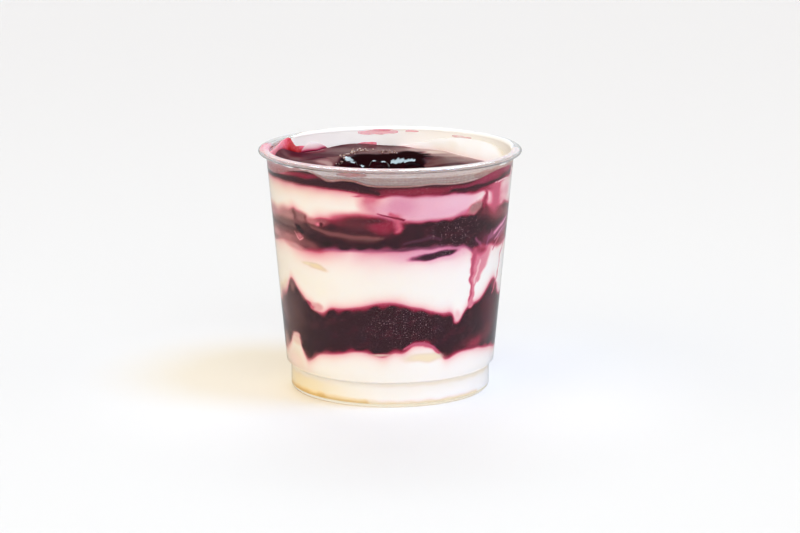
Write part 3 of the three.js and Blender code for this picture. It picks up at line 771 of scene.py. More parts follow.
def paint(angles, heights):
    """The masks of the food where it touches the wall."""
    u, v = angles * DEGREE, heights
    lift = wobble(u, v, WOBBLE_UP)
    moved, lifted = angles + wobble(u, v, WOBBLE_ROUND) / DEGREE, heights + lift
    edge = heights + EDGE_WOBBLE * lift
    stain, tone = bleed(angles, edge)
    gap = {name: edge - wall_line(name, angles) for name in LINES}
    gap["cream_upper"] -= OUTSIDE_BANK * smooth_step(wall_line("bank", angles), -0.2, 0.2)
    depth = np.maximum.reduce([
        np.minimum(gap["cream_base"], -gap["compote_lower"]),
        np.minimum(gap["cream_middle"], -gap["compote_middle"]),
        gap["cream_upper"],
    ])
    fringe = EDGE_RIM * np.exp(-np.clip(-depth, 0, 9) / EDGE_RIM_REACH)
    stain, tone = stain + fringe, mixed_tone(tone, stain, CRIMSON, fringe)
    rim = np.clip(1.3 + 0.8 * waves(u, v, 7, 5), 0.7, 2.6)
    cloud = waves(u, v, 9, 6) + 0.6 * waves(u, 1.6 * v, 10, 2.2)
    deep = DEEP_STAIN - CLOUDING * np.clip(cloud, 0, 1.4)
    within = RIM_STAIN + (deep - RIM_STAIN) * smooth_step(depth, -0.1, rim)
    under = np.exp(-gap["cream_middle"] ** 2) * (1 - at_left(angles, 30, 55))
    hue = CRIMSON + LEFT_BROWN * at_left(angles, 25, 60) - UNDER_MAUVE * under
    stain, tone = toward((stain, tone), (within, hue), smooth_step(depth, -0.7, 0.25))
    for *shape, amount, hue in PATCHES:
        stain, tone = toward((stain, tone), (amount, hue), wall_oval(moved, lifted, *shape))
    for route, soft, amount, hue in STRANDS:
        mask = wall_strand(moved, lifted, route, soft)
        stain, tone = toward((stain, tone), (amount, hue), mask)
    specks = np.maximum.reduce([strength * wall_oval(angles, heights, *shape)
                                for *shape, strength in SPECK_FIELDS])
    return {"stain": stain, "tone": tone, "specks": specks}


# %% [markdown]
# ## The bands
#
# Each band is a closed solid between two of the lines. Its side touches the wall and reaches a
# tenth of a millimetre into the plastic: two surfaces at exactly the same place would flicker, and
# an air gap would mirror the light like a silvery film. Only the side is fine enough to carry the
# paint, because the rest of a band is never seen.

# %% Rings of a band
COLUMNS = 720
ROW_STEP, BASE_ROW_STEP, END_ROW = 0.32, 0.25, 0.015
ANGLES = (np.arange(COLUMNS) * 360 / COLUMNS + 180) % 360 - 180
BAND_SHARES = (0.4, 0.7, 0.88, 0.97)
HIDDEN = {"tone": CRIMSON, "open": 0.0, "specks": 0.0, "shade": 0.0}      # where nothing shows


def food_radius(heights):
    return np.where(heights < LEDGE_LOW, BASE_RADIUS - WALL, inner_radius(heights)) + BITE


def base_food_radius(heights):
    """The same, rounded off at the corner of the cup's floor."""
    above = FLOOR_FILLET - np.clip(heights - (FLOOR_HEIGHT - BITE), 0, FLOOR_FILLET)
    return food_radius(heights) - FLOOR_FILLET + np.sqrt(FLOOR_FILLET**2 - above**2)


def side_heights(low, high, step=ROW_STEP):
    """Ring heights between two lines; a hair-thin row at each end keeps the shading flat to it."""
    count = max(3, int(np.ceil((high - low).max() / step)))
    heights = low + (high - low) * np.linspace(0, 1, count)[:, None]
    first, last = heights[:1], heights[-1:]
    return np.concatenate([first, first + END_ROW, heights[1:-1], last - END_ROW, last])


def side_rows(low, high, radius=food_radius, step=ROW_STEP):
    """Rings up the side between two lines, and their painted masks."""
    heights = side_heights(low, high, step)
    angles = np.broadcast_to(ANGLES, heights.shape)
    return on_circle(angles, radius(heights), heights), paint(angles, heights)


def boundary(name):
    """Rings of a buried boundary: flat in the middle, following the wall line near the wall."""
    centre, level, _ = LINES[name]
    line = wall_line(name, ANGLES)
    rows = []
    for share in BAND_SHARES:
        height = centre + (level - centre) * share**2 + (line - level) * share**6
        rows.append(on_circle(ANGLES, share * food_radius(line), height))
    return np.array(rows)


# %% Build the bands
def food_object(name, under, side, painted, over, low_point, high_point, buried, opened=None):
    """A food solid from its rings under, at the side and over it, with their masks."""
    masks = {}
    for mask, hidden in {"stain": buried, **HIDDEN}.items():
        rows = [np.full((len(part), COLUMNS), hidden, float) for part in (under, side, over)]
        rows[1][:] = painted.get(mask, hidden)
        rows[2][:] = (opened or {}).get(mask, hidden)
        masks[mask] = np.concatenate(rows)
    return ring_object(name, np.concatenate([under, side, over]), low_point, high_point, masks)


def band(name, below, above, buried):
    side, painted = side_rows(wall_line(below, ANGLES), wall_line(above, ANGLES))
    return food_object(name, boundary(below), side, painted, boundary(above)[::-1],
                       LINES[below][0], LINES[above][0], buried)


def base_band():
    bottom = FLOOR_HEIGHT - BITE
    under = turned_rings([(BASE_RADIUS * 0.5, bottom), (BASE_RADIUS * 0.9, bottom)], COLUMNS)
    side, painted = side_rows(np.full(COLUMNS, bottom), wall_line("cream_base", ANGLES),
                              base_food_radius, BASE_ROW_STEP)
    return food_object("cream_base_fill", under, side, painted, boundary("cream_base")[::-1],
                       bottom, LINES["cream_base"][0], 0.0)


bands = [
    base_band(),
    band("compote_lower_fill", "cream_base", "compote_lower", 1.0),
    band("cream_middle_fill", "compote_lower", "cream_middle", 0.0),
    band("compote_middle_fill", "cream_middle", "compote_middle", 1.0),
]
for piece in bands:
    print(f"{piece.name}: {len(piece.data.polygons)} faces")

# %% [markdown]
# ## The open surface
#
# The compote on top was spooned in, so it isn't level: it has a hollow with a raised far lip, and
# it climbs a little where it wets the wall and the berries. The bank of cream at the back and
# right keeps it off the wall there. The height is one formula of the place in plan.

# %% Shape of the open surface
HOLLOW_X, HOLLOW_Y = -2.5, 3.0
HOLLOW_HALF_LENGTH, HOLLOW_HALF_WIDTH, HOLLOW_DEPTH = 14.5, 9.5, 3.2
HOLLOW_LIP_RISE, HOLLOW_LIP_SHARE, HOLLOW_LIP_SPREAD = 0.7, 1.38, 0.28
RIPPLE, UNEVEN = 0.22, 0.10
SURFACE_LEVEL = LINES["contact"][1]
BANK_EDGE_DEPTH = 1.3
# Each berry: place of its middle, half sizes, turn in degrees
BERRIES = [
    ((-12, 1.6, 62.9), (4.7, 4.3, 4.4), 20), ((-2.9, -0.3, 62.5), (4.2, 4.1, 4.3), 75),
    ((6.6, 2.4, 62.8), (5, 4.3, 4.3), -12), ((-3.4, 8.9, 62.2), (4.3, 4.1, 4.2), 40),
]
MENISCUS, MENISCUS_REACH = 0.45, 0.9


def hollow_share(x, y):
    """Where a place lies in the hollow: across it and how far out, 1 at its half sizes."""
    along, across = (x - HOLLOW_X) / HOLLOW_HALF_LENGTH, (y - HOLLOW_Y) / HOLLOW_HALF_WIDTH
    return across, np.hypot(along, across)


def surface_height(x, y):
    across, away = hollow_share(x, y)
    far_side = 0.5 + 0.5 * across / (away + 0.01)
    ripple = RIPPLE * np.sin(x / 6 + 1.2) * np.cos(y / 7.5 + x / 21)
    lip = np.exp(-(((away - HOLLOW_LIP_SHARE) / HOLLOW_LIP_SPREAD) ** 2))
    lip = HOLLOW_LIP_RISE * far_side * lip
    height = SURFACE_LEVEL + ripple + lip - HOLLOW_DEPTH * np.exp(-(away**4))
    return height + UNEVEN * waves(x, y, 11, 9)


def wet_berries(x, y, height):
    """The surface lifted where it climbs the berries."""
    for (east, north, middle), radii, turn in BERRIES:
        u, v = turned(x - east, y - north, turn)
        level = np.clip(1 - ((height - middle) / radii[2]) ** 2, 0.05, 1) ** 0.5
        away = (np.hypot(u / radii[0], v / radii[1]) - level) * radii[0]
        height = height + MENISCUS * np.exp(-np.clip(away, 0, None) / MENISCUS_REACH)
    return height


print(f"hollow: {2 * HOLLOW_HALF_LENGTH} by {2 * HOLLOW_HALF_WIDTH} mm, {HOLLOW_DEPTH} mm deep")

# %% [markdown]
# ### Colour and gloss of the open surface
#
# The pool is a wet brown-red film of uneven depth, and the hollow is nearly black, with dull slopes
# and a few wet spots that catch the window. The pool's paler grey-brown patches are partly its own
# colour and partly painted sheen, where the wet surface mirrors the bright room. Gloss is painted
# like the stain, as the weight of a clear coat. The hollow's own mirror image would turn it grey,
# which is why its gloss is so low.

# %% Marks on the open surface
POOL_GLOSS, HOLLOW_GLOSS, WET_GLOSS = 0.22, 0.004, 0.9
POOL_STAIN, POOL_TONE = 0.88, 0.80
MARK_STRENGTH = 0.85
STAIN_END = 1.2       # stain of the darkest compote
# Paler marks with a brown tone are partly painted sheen of the bright room on the wet pool
# Each mark on the surface: x, y, half length, half width, tilt, soft rim, stain, tone, gloss
POOL_MARKS = [
    (-26, 16, 9, 8, -40, 0.7, 0.88, 0.58, 0.10), (-24, 4, 8, 3.4, 0, 0.7, 0.82, 0.80, 0.20),
    (-28.5, 11.5, 4, 2.4, -30, 0.8, 0.76, 0.95, 0.18),
    (-20, 25, 9, 4.0, -25, 0.8, 0.80, 0.75, 0.22),
    (-18.5, 6, 3.4, 3.6, 0, 0.7, 0.46, 1.0, 0.34), (-16, 11, 2.4, 3.0, 0, 0.7, 0.64, 1.0, 0.06),
    (-21, 16, 5, 2.4, 0, 0.7, 0.86, 0.6, 0.13), (-12, 24, 5, 4.0, 0, 0.8, 0.78, 1.0, 0.22),
    (0, 27, 14, 4.0, 0, 0.8, 0.68, 1.0, 0.30), (2, 19.5, 13, 2.2, 0, 0.8, 0.84, 0.85, 0.14),
    (-13, 18, 2.4, 2.0, 0, 0.8, 0.86, 0.75, 0.12), (17, 19, 8.5, 6.0, -40, 0.6, 0.58, 1.0, 0.34),
    (12, 28, 7, 3.4, -15, 0.7, 0.50, 1.0, 0.44), (13, 23, 3.6, 2.2, -30, 0.8, 0.34, 1.0, 0.46),
    (20.5, 15, 3.0, 2.0, -40, 0.8, 0.54, 1.0, 0.34), (6, 24, 4.2, 1.6, 0, 0.7, 0.97, 0.60, 0.06),
    (16, 7, 5, 4.0, 0, 0.7, 0.72, 1.0, 0.34), (24, 9, 5, 5.0, 0, 0.8, 0.62, 1.0, 0.38),
    (13, 12, 2.4, 2.4, 0, 0.8, 0.82, 0.85, 0.16),
]
# Where the hollow is black: x, y, half length, half width, tilt, soft rim
HOLLOW_SHADE = [(-4.5, 5.5, 12.2, 10.5, 0, 0.10), (2.6, 11.5, 8.4, 13.2, -18, 0.14)]
SLOPE_GLOSS = 0.1     # share of the gloss left on the hollow's slopes
# Each wet spot that catches the window: route of (x, y, half width)
WET_SPOTS = [
    [(-13.8, 13.2, 0.5), (-12.6, 12.0, 1.0), (-11.4, 10.8, 1.0), (-9.8, 9.8, 0.7),
     (-8.0, 9.8, 0.35)],
    [(0.9, 12.3, 0.7), (2.4, 12.6, 1.0), (3.6, 12.4, 0.8)],
    [(4.8, 12.0, 0.6), (5.9, 11.8, 0.8), (7.0, 11.4, 0.5)],
    [(-5.8, 8.0, 0.6), (-4.9, 8.0, 0.6)],
    [(-1.8, 7.7, 0.7), (-0.6, 7.7, 0.6)],
    [(-11.3, 0.8, 0.6), (-9.9, 0.4, 0.5)],
]
print(f"{len(POOL_MARKS)} marks in the pool, {len(WET_SPOTS)} wet spots")

# %% Look of the open surface
def wet_spots(x, y):
    x, y = x + 0.25 * waves(x, y, 27, 1.6), y + 0.25 * waves(x, y, 28, 1.6)
    return np.maximum.reduce([strand(x, y, route, 0.35) for route in WET_SPOTS])


def surface_masks(x, y):
    """Stain, tone and gloss of the open compote: a dull dark hollow in a brown-red pool."""
    film = waves(x, 2.0 * y, 21, 15) + 0.5 * waves(x, 2.4 * y, 22, 5)
    look = [POOL_STAIN - 0.05 * film, POOL_TONE + 0.10 * film,
            POOL_GLOSS * (1 + 0.3 * waves(x, 3 * y, 23, 7))]
    nudged_x, nudged_y = x + 0.8 * waves(x, y, 24, 5), y + 0.8 * waves(x, y, 25, 5)
    for east, north, *shape, amount, hue, shine in POOL_MARKS:
        mask = MARK_STRENGTH * oval(nudged_x - east, nudged_y - north, *shape)
        look = toward(look, (amount, hue, shine), mask)
    nudged_x, nudged_y = x + 0.9 * waves(x, y, 26, 6), y + 0.9 * waves(x, y, 29, 6)
    hollow = np.maximum.reduce([oval(nudged_x - east, nudged_y - north, *shape)
                                for east, north, *shape in HOLLOW_SHADE])
    stain, tone, gloss = toward(look, (STAIN_END, CRIMSON, HOLLOW_GLOSS), hollow)
    slope = 1 - smooth_step(hollow_share(x, y)[1], 1.2, 1.5)
    gloss = gloss * (1 + (SLOPE_GLOSS - 1) * slope)
    return stain, tone, np.maximum(gloss, WET_GLOSS * wet_spots(x, y))


# %% [markdown]
# ### The upper cream and its bank
#
# The upper cream is a bowl that holds the compote. At the back and right it rises as a bank along
# the wall, and there the compote ends at the bank's foot and not at the wall. Juice soaks a little
# way up from that foot.

# %% Foot of the bank
def bank_inset():
    return np.maximum(0, wall_line("bank", ANGLES))


def compote_edge():
    return inner_radius(wall_line("contact", ANGLES)) - bank_inset()


def place_at(radii):
    turn = np.radians(ANGLES)
    return radii * np.sin(turn), -radii * np.cos(turn)


print(f"bank: up to {bank_inset().max():.1f} mm thick")

# %% The upper cream
BANK_STEPS = 22
FRINGE_LEVEL = 0.10   # juice at the foot of the bank, and where there is more of it
FRINGE = [(-136, 0.84, 14, 16, 3), (-162, 0.40, 16, 16, 2)]
FRINGE_REACH = 0.9    # how far it soaks up the bank
BANK_SHADE = 0.14     # how much darker the bank is than cream behind the wall
CREAM_SHINE = 0.05


def bowl_rings():
    """The cream's bowl under the compote, and the height of its rim."""
    edge, inset = compote_edge(), bank_inset()
    foot = surface_height(*place_at(edge)) - BANK_EDGE_DEPTH
    wall = wall_line("cream_upper", ANGLES)
    rim = np.where(inset > 0, foot, wall)
    reach = np.where(inset > 0, edge, food_radius(wall))
    centre = LINES["cream_upper"][0]
    rows = [on_circle(ANGLES, share * reach, centre + (rim - centre) * share**4)
            for share in BAND_SHARES]
    return np.array(rows), reach, rim


def upper_cream():
    bowl, foot_radius, foot_height = bowl_rings()
    wall = wall_line("cream_upper", ANGLES)
    top = np.where(bank_inset() > 0, np.maximum(wall, foot_height + 1.5), wall)
    side, painted = side_rows(wall_line("compote_middle", ANGLES), top)
    rows, stains = [], []
    fringe = np.clip(FRINGE_LEVEL + swell_sum(ANGLES, FRINGE), 0, 1)
    for share in np.linspace(1, 0, BANK_STEPS, endpoint=False)[1:]:
        climb = np.sin(share * np.pi / 2) ** 0.8
        height = foot_height + (top - foot_height) * climb
        bump = UNEVEN * waves(ANGLES * DEGREE, np.full(COLUMNS, share * 9), 15, 7)
        bump = bump * np.sin(share * np.pi) * (bank_inset() > 0.5)
        radius = foot_radius + (food_radius(height) - foot_radius) * share
        rows.append(on_circle(ANGLES, radius, height + bump))
        above = np.clip(height - foot_height - BANK_EDGE_DEPTH, 0, 9)
        stains.append(fringe * np.exp(-above / FRINGE_REACH))
    over = np.concatenate([np.array(rows), bowl[::-1]])
    under_compote = np.zeros((len(bowl), COLUMNS))
    marks = {"open": np.concatenate([np.full((len(rows), COLUMNS), CREAM_SHINE), under_compote]),
             "stain": np.concatenate([np.array(stains), under_compote]), "shade": BANK_SHADE}
    return food_object("cream_upper_fill", boundary("compote_middle"), side, painted, over,
                       LINES["compote_middle"][0], LINES["cream_upper"][0], 0.0, marks)


cream_top = upper_cream()
print(f"{cream_top.name}: {len(cream_top.data.polygons)} faces")

# %% [markdown]
# ### The compote on top
#
# Its underside is the cream's bowl and its top the open surface, in rings that lie closer together
# towards the wall. Where it touches the wall it climbs to the contact line, and at the bank it ends
# a little inside the cream, so that the two can't part.

# %% The compote on top
SURFACE_RINGS = 96
CLIMB_REACH = 1.5     # how far from the wall the compote begins to climb it
INTO_BANK = 0.5
THIN_REACH = 1.3      # how far in from its edge the compote is thin and paler


def top_compote():
    bowl, _, _ = bowl_rings()
    inset = bank_inset()
    contact = wall_line("contact", ANGLES)
    low = wall_line("cream_upper", ANGLES)
    edge = np.where(inset > 0, compote_edge() + INTO_BANK, food_radius(contact))
    at_edge = surface_height(*place_at(edge))
    banked = smooth_step(inset, 0.0, 1.2)
    side_high = np.where(inset > 0, at_edge, contact)
    side_low = np.where(inset > 0, at_edge - BANK_EDGE_DEPTH, low)
    heights = side_heights(side_low, side_high)
    angles = np.broadcast_to(ANGLES, heights.shape)
    radius = np.where(inset > 0, edge, food_radius(heights))
    side = on_circle(angles, radius, heights)
    painted = paint(angles, heights)
    rows, masks = [], []
    for share in np.linspace(1, 0, SURFACE_RINGS, endpoint=False)[1:] ** 0.9:
        x, y = place_at(share * edge)
        inward = edge * (1 - share)
        height = wet_berries(x, y, surface_height(x, y))
        height += (contact - at_edge) * (1 - banked) * np.exp(-inward / CLIMB_REACH)
        rows.append(np.stack([x, y, height], -1))
        stain, tone, gloss = surface_masks(x, y)
        thin = (0.10 + 0.20 * banked) * np.exp(-inward / THIN_REACH)
        masks.append((stain - thin, tone, gloss))
    marks = dict(zip(("stain", "tone", "open"), (np.array(values) for values in zip(*masks))))
    axis = np.zeros(1)
    centre = float(wet_berries(axis, axis, surface_height(axis, axis))[0])
    return food_object("compote_top_fill", bowl, side, painted, np.array(rows),
                       LINES["cream_upper"][0], centre, 1.0, marks)


compote_top = top_compote()
print(f"{compote_top.name}: {len(compote_top.data.polygons)} faces")

# %% [markdown]
# ## Berries
#
# The dark lumps in the hollow are whole berries under wet compote. A ball made from an even
# icosphere has no poles to pinch the highlights; it is stretched, turned and made a little lumpy.

# %% Make the berries
# Each bump on the berries: x, y, rise, reach
BERRY_BUMPS = [(-5.4, 8.3, 0.5, 1.0), (-1.1, 8.0, 0.5, 1.1), (-10.8, 1.0, 0.3, 1.4)]
BERRY_GLOSS = 0.008


def berry(number, place, radii, turn):
    name = f"berry_{number}_skin"
    ball = bmesh.new()
    bmesh.ops.create_icosphere(ball, subdivisions=5, radius=1)
    x, y, z = np.array([point.co for point in ball.verts]).T
    lump = 1 + 0.03 * np.sin(3 * x + 2 * z) + 0.025 * np.cos(4 * y)
    u, v, w = radii[0] * lump * x, radii[1] * lump * y, radii[2] * lump * z
    u, v = turned(u, v, -turn)
    east, north, height = place[0] + u, place[1] + v, place[2] + w
    for bump_x, bump_y, rise, reach in BERRY_BUMPS:
        away = np.hypot(east - bump_x, north - bump_y)
        height += rise * np.exp(-(away / reach) ** 2) * (z > 0)
    faces = [[point.index for point in face.verts] for face in ball.faces]
    ball.free()
    gloss = np.maximum(BERRY_GLOSS, WET_GLOSS * wet_spots(east, north) * (z > 0))
    return make_object(name, np.stack([east, north, height], -1), faces, {"open": gloss})


berries = [berry(i + 1, *facts) for i, facts in enumerate(BERRIES)]
print(f"{len(berries)} berries, {sum(len(b.data.polygons) for b in berries)} faces")

# %% [markdown]
# ## Froth
#
# Spooning left a string of tiny bubbles along the far and left edge of the hollow. They are small
# balls on the surface, strewn along a route with a fixed seed, so that every run gives the same
# ones.

# %% Froth along the hollow
FROTH_ROUTE = [(-19.5, -1.5), (-15.5, 2.7), (-14.4, 7.8), (-13.9, 13.0), (-13.4, 16.5),
               (-12.2, 20.1), (-9.3, 26.3), (-5.6, 27.2), (-1.6, 25.4), (1.4, 22.7)]
FROTH_COUNT, FROTH_SPREAD, FROTH_RADII = 130, 0.9, (0.12, 0.36)
FROTH_STAIN, FROTH_SHINE, FROTH_SEED = (0.34, 0.78), 0.6, 81


def froth():
    draw = np.random.default_rng(FROTH_SEED)
    route = np.array(FROTH_ROUTE)
    marks = np.concatenate([[0], np.cumsum(np.hypot(*np.diff(route, axis=0).T))])
    at = draw.uniform(0, marks[-1], FROTH_COUNT)
    x, y = (np.interp(at, marks, route[:, axis]) + draw.normal(0, FROTH_SPREAD, FROTH_COUNT)
            for axis in (0, 1))
    radii = draw.uniform(*FROTH_RADII, FROTH_COUNT)
    ball = bmesh.new()
    bmesh.ops.create_icosphere(ball, subdivisions=2, radius=1)
    shape = np.array([point.co for point in ball.verts])
    sides = np.array([[point.index for point in face.verts] for face in ball.faces])
    ball.free()
    places = np.stack([x, y, surface_height(x, y) + 0.3 * radii], -1)
    points = (places[:, None, :] + radii[:, None, None] * shape).reshape(-1, 3)
    faces = (np.arange(FROTH_COUNT)[:, None, None] * len(shape) + sides).reshape(-1, 3)
    stain = np.repeat(draw.uniform(*FROTH_STAIN, FROTH_COUNT), len(shape))
    masks = {"stain": stain, "tone": np.full_like(stain, BROWN),
             "open": np.full_like(stain, FROTH_SHINE)}
    return make_object("froth_beads", points, faces.tolist(), masks)


beads = froth()
print(f"froth: {FROTH_COUNT} beads, {len(beads.data.polygons)} faces")

# %% [markdown]
# ## Smears on the inner wall
#
# Filling the cup left a thin coat of cream on the back of the wall and red juice near the lip. A
# painted texture on the plastic would have no thickness, so each smear is a thin pillow: a sheet
# on the wall and a sheet bulging from it, which meet all round the edge. Each one reaches a few
# thousandths of a millimetre less deep into the wall than the one before, and all less deep than
# the bands, because two sheets at the same depth would flicker where they overlap. Juice is clear,
# so its pillows also carry a "cover" number that lets the cup show through them.

# %% Smear helper
BITE_STEP = 0.005
SMEAR_STEP, SMEAR_ROWS = 0.5, 26           # degrees a column, and rows from edge to edge
smear_numbers = itertools.count(1)


def film_point(angles, climb, lift):
    """A point on the inner wall, or past its top on the lip, lifted off it towards the axis."""
    height = np.minimum(climb, LIP_HEIGHT)
    over = np.clip(climb - LIP_HEIGHT, 0, None) / (0.5 * (LIP_HALF_WIDTH + LIP_HALF_HEIGHT))
    on_wall, turn = climb <= LIP_HEIGHT, np.pi - over
    radius = np.where(on_wall, inner_radius(height), LIP_CENTRE + LIP_HALF_WIDTH * np.cos(turn))
    height = np.where(on_wall, height, LIP_HEIGHT + LIP_HALF_HEIGHT * np.sin(turn))
    return on_circle(angles, radius - lift * np.cos(over), height + lift * np.sin(over))


def smear(name, start, end, low, high, thickness, seed, look, shine=0.5, blunt=8):
    """A thin pillow on the wall from one angle to another, between two lines of the angle.

    look gives stain, tone, cover and perhaps shade from the shares along and up the smear. The
    higher blunt is, the less the smear narrows before its two ends.
    """
    columns, rows = max(24, int((end - start) / SMEAR_STEP)), SMEAR_ROWS
    along = np.linspace(0, 1, columns)[None, :]
    up = np.linspace(0, 1, rows)[:, None]
    angles = np.broadcast_to(start + (end - start) * along, (rows, columns))
    narrowing = np.sqrt(np.clip(1 - np.abs(2 * along - 1) ** blunt, 0, 1))
    middle, half = (low(angles) + high(angles)) / 2, (high(angles) - low(angles)) / 2
    climb = middle + half * narrowing * (2 * up - 1)
    swell = narrowing * np.clip(1 - np.abs(2 * up - 1) ** 6, 0, 1) ** 0.6
    uneven = 0.85 + 0.15 * waves(angles * DEGREE, climb, seed, 7)
    bite = BITE - BITE_STEP * next(smear_numbers)
    out = film_point(angles, climb, -bite)
    inn = film_point(angles, climb, -bite + (thickness * uneven + bite) * swell)
    points = np.concatenate([out.reshape(-1, 3), inn.reshape(-1, 3)])
    i = (np.arange(rows - 1)[:, None] * columns + np.arange(columns - 1)).ravel()
    quads = np.stack([i, i + 1, i + columns + 1, i + columns], -1)
    faces = quads.tolist() + (quads[:, ::-1] + rows * columns).tolist()
    masks = {mask: np.tile(np.broadcast_to(values, (rows, columns)).ravel(), 2)
             for mask, values in zip(("stain", "tone", "cover", "shade"), look(along, up))}
    masks["open"] = np.full(2 * rows * columns, shine)
    return make_object(name, points, faces, masks, merge=0.002)


def ragged(level, seed, amount=0.4, scale=4):
    """An uneven line round the wall at a level."""
    def line(angles):
        return level + amount * waves(angles * DEGREE, np.zeros_like(angles), seed, scale)
    return line


# %% [markdown]
# ### Cream and juice at the back
#
# The coat of cream is nearly opaque and lit through from behind. The red juice at its left end is
# thick at its far end, where it stands out against the cream. Both start a little under the food,
# so that no line of bare plastic shows between them.

# %% The two large smears
UNDER_FOOD = 1.2      # how far below the food's edge a smear starts


def above_food(angles):
    return np.maximum(wall_line("contact", angles), wall_line("cream_upper", angles)) - UNDER_FOOD


def cream_look(along, up):
    """Faintly pink at its left end; at the right, towards the window, painted shade darkens it a
    little.
    """
    left, right = smooth_step(along, 0.7, 0.95), 1 - smooth_step(along, 0.15, 0.75)
    return 0.06 * left + 0 * up, 0.85, 1.0, 0.21 * right


def left_juice_look(along, up):
    """Pink towards the front, deep red at its far end and lower edge, where it is thick."""
    thick = smooth_step(1 - along, 0.50, 0.64) * (1 - 0.85 * smooth_step(1 - along, 0.72, 0.86))
    return 0.32 + 0.32 * thick + (0.34 - 0.10 * thick) * (1 - up) ** 2, CRIMSON, 0.9


def left_juice_top(angles):
    """The juice climbs to a peak near the bank's left end, drops and runs out in a thin tail."""
    climb, drop = smooth_step(-angles, 104, 121), smooth_step(-angles, 121, 127)
    return 70.2 + 1.9 * climb - 3.3 * drop - 1.2 * smooth_step(-angles, 128, 140)


smears = [
    smear("cream_smear_back", 84, 238, above_food, ragged(73.5, 31, 0.12), 0.25, 41, cream_look,
          shine=0.0),
    smear("juice_smear_left", -142, -86, above_food, left_juice_top, 0.30, 42, left_juice_look,
          blunt=12),
]
for piece in smears:
    print(f"{piece.name}: {len(piece.data.polygons)} faces")

# %% [markdown]
# ### Small marks of juice
#
# These are the same pillows with pointed ends. Each has a ragged lower and upper edge, one stain
# and one cover, so a list holds them all.

# %% Small marks
# Each mark: name, from, to, lower and upper edge (level, seed, unevenness), thickness, seed,
# stain, cover, gloss
WALL_MARKS = [
    ("juice_mark_back_1", -187, -159, (69.9, 33, 0.2), (71.6, 34, 0.2), 0.36, 43, 0.25, 0.6, 0.5),
    ("juice_mark_back_4", -183, -170, (71.0, 66, 0.1), (71.7, 67, 0.1), 0.38, 68, 0.36, 0.7, 0.5),
    ("juice_mark_back_2", 164, 174, (70.7, 35, 0.1), (71.4, 36, 0.1), 0.34, 44, 0.26, 0.7, 0.5),
    ("juice_mark_back_3", 133, 151, (70.0, 37, 0.1), (70.9, 38, 0.1), 0.34, 45, 0.18, 0.7, 0.5),
    ("juice_mark_far", -175, -162, (66.5, 63, 0.1), (67.9, 64, 0.1), 0.36, 65, 0.42, 0.8, 0.5),
    ("film_mark_front", -25, -10, (69.4, 39, 0.25, 2.5), (70.9, 40, 0.2, 2.5), 0.10, 46,
     0.50, 0.85, 0.2),
    ("film_mark_left", -47, -43, (69.6, 47, 0.1), (70.4, 48, 0.1), 0.08, 49, 0.50, 0.8, 0.5),
]


def juice_look(stain, cover):
    return lambda along, up: (stain, CRIMSON, cover)


for name, start, end, low, high, thickness, seed, stain, cover, gloss in WALL_MARKS:
    smears.append(smear(name, start, end, ragged(*low), ragged(*high), thickness, seed,
                        juice_look(stain, cover), gloss, blunt=2))
print(f"{len(WALL_MARKS)} small marks")

# %% [markdown]
# ### Films at the front and on the lip
#
# A wet spoon left a film a few hundredths of a millimetre thick over the lip and between the
# compote and the lip. It hardly covers anything, but it tints what lies behind it. On the lip the
# tint is partly juice and partly painted reflection of the filling seen inside the rolled lip.

# %% Thin films
FILM_GLOSS = 0.1


def over_contact(rise):
    return lambda angles: wall_line("contact", angles) + rise


def contact_look(along, up):
    fading = 0.85 * (1 - np.abs(2 * up - 1) ** 2)
    return 0.74 - 0.22 * smooth_step(along, 0.3, 0.8) - 0.22 * up, CRIMSON, fading


def front_look(along, up):
    return 0.35 + 0.06 * waves(6 * along, 9 * up, 62, 1.2), MAUVE, 0.5


def lip_juice_and_reflection_look(stain, start=0.0):
    """Juice wiped thin over the lip, its tint partly a painted reflection of the filling: it runs
    out at both ends and may be thicker at its start.
    """
    def look(along, up):
        thicker = start * smooth_step(1 - along, 0.7, 0.9)
        uneven = 0.05 * waves(30 * along, 3 * up, 73, 1.5)
        fading = smooth_step(1 - np.abs(2 * along - 1), 0.0, 0.12)
        return stain + thicker + uneven, CRIMSON, 0.75 * fading
    return look


smears += [
    # Painted reflection of the filling in the rolled lip, laid on as a thin pink juice film
    smear("lip_film_left", -104, 16, ragged(70.9, 50, 0.1), ragged(74.3, 51, 0.2), 0.05, 52,
          lip_juice_and_reflection_look(0.17, 0.14), FILM_GLOSS),
    smear("lip_film_right", 4, 92, ragged(71.0, 69, 0.1), ragged(74.2, 70, 0.2), 0.04, 71,
          lip_juice_and_reflection_look(0.07), FILM_GLOSS),
    smear("film_left", -88, -34, ragged(66.6, 53, 0.1), ragged(70.4, 54, 0.25, 6), 0.08, 55,
          juice_look(0.60, 0.72), 2 * FILM_GLOSS, blunt=3),
    smear("film_right", 42, 88, ragged(66.8, 56, 0.1), ragged(69.8, 57, 0.2, 6), 0.08, 58,
          juice_look(0.52, 0.6), 2 * FILM_GLOSS, blunt=3),
    smear("film_front", -42, 62, over_contact(0.5), ragged(71.2, 60, 0.1), 0.05, 61,
          front_look, FILM_GLOSS, blunt=4),
    smear("film_contact", -45, 62, over_contact(-0.2), over_contact(1.0), 0.07, 72,
          contact_look, FILM_GLOSS, blunt=6),
]
print(f"{len(smears)} smears, {sum(len(piece.data.polygons) for piece in smears)} faces")

# %% [markdown]
# ## From stain and tone to colour
#
# Cream and compote share this effect, so it is one node group. It reads the painted numbers,
# roughens the stain a little with fine noise, lets fine specks through where they are painted, and
# looks the colour up in one ramp for each hue of the row. The ramps hold the colours as they look
# through the wall; the group's caller doesn't have to know them.

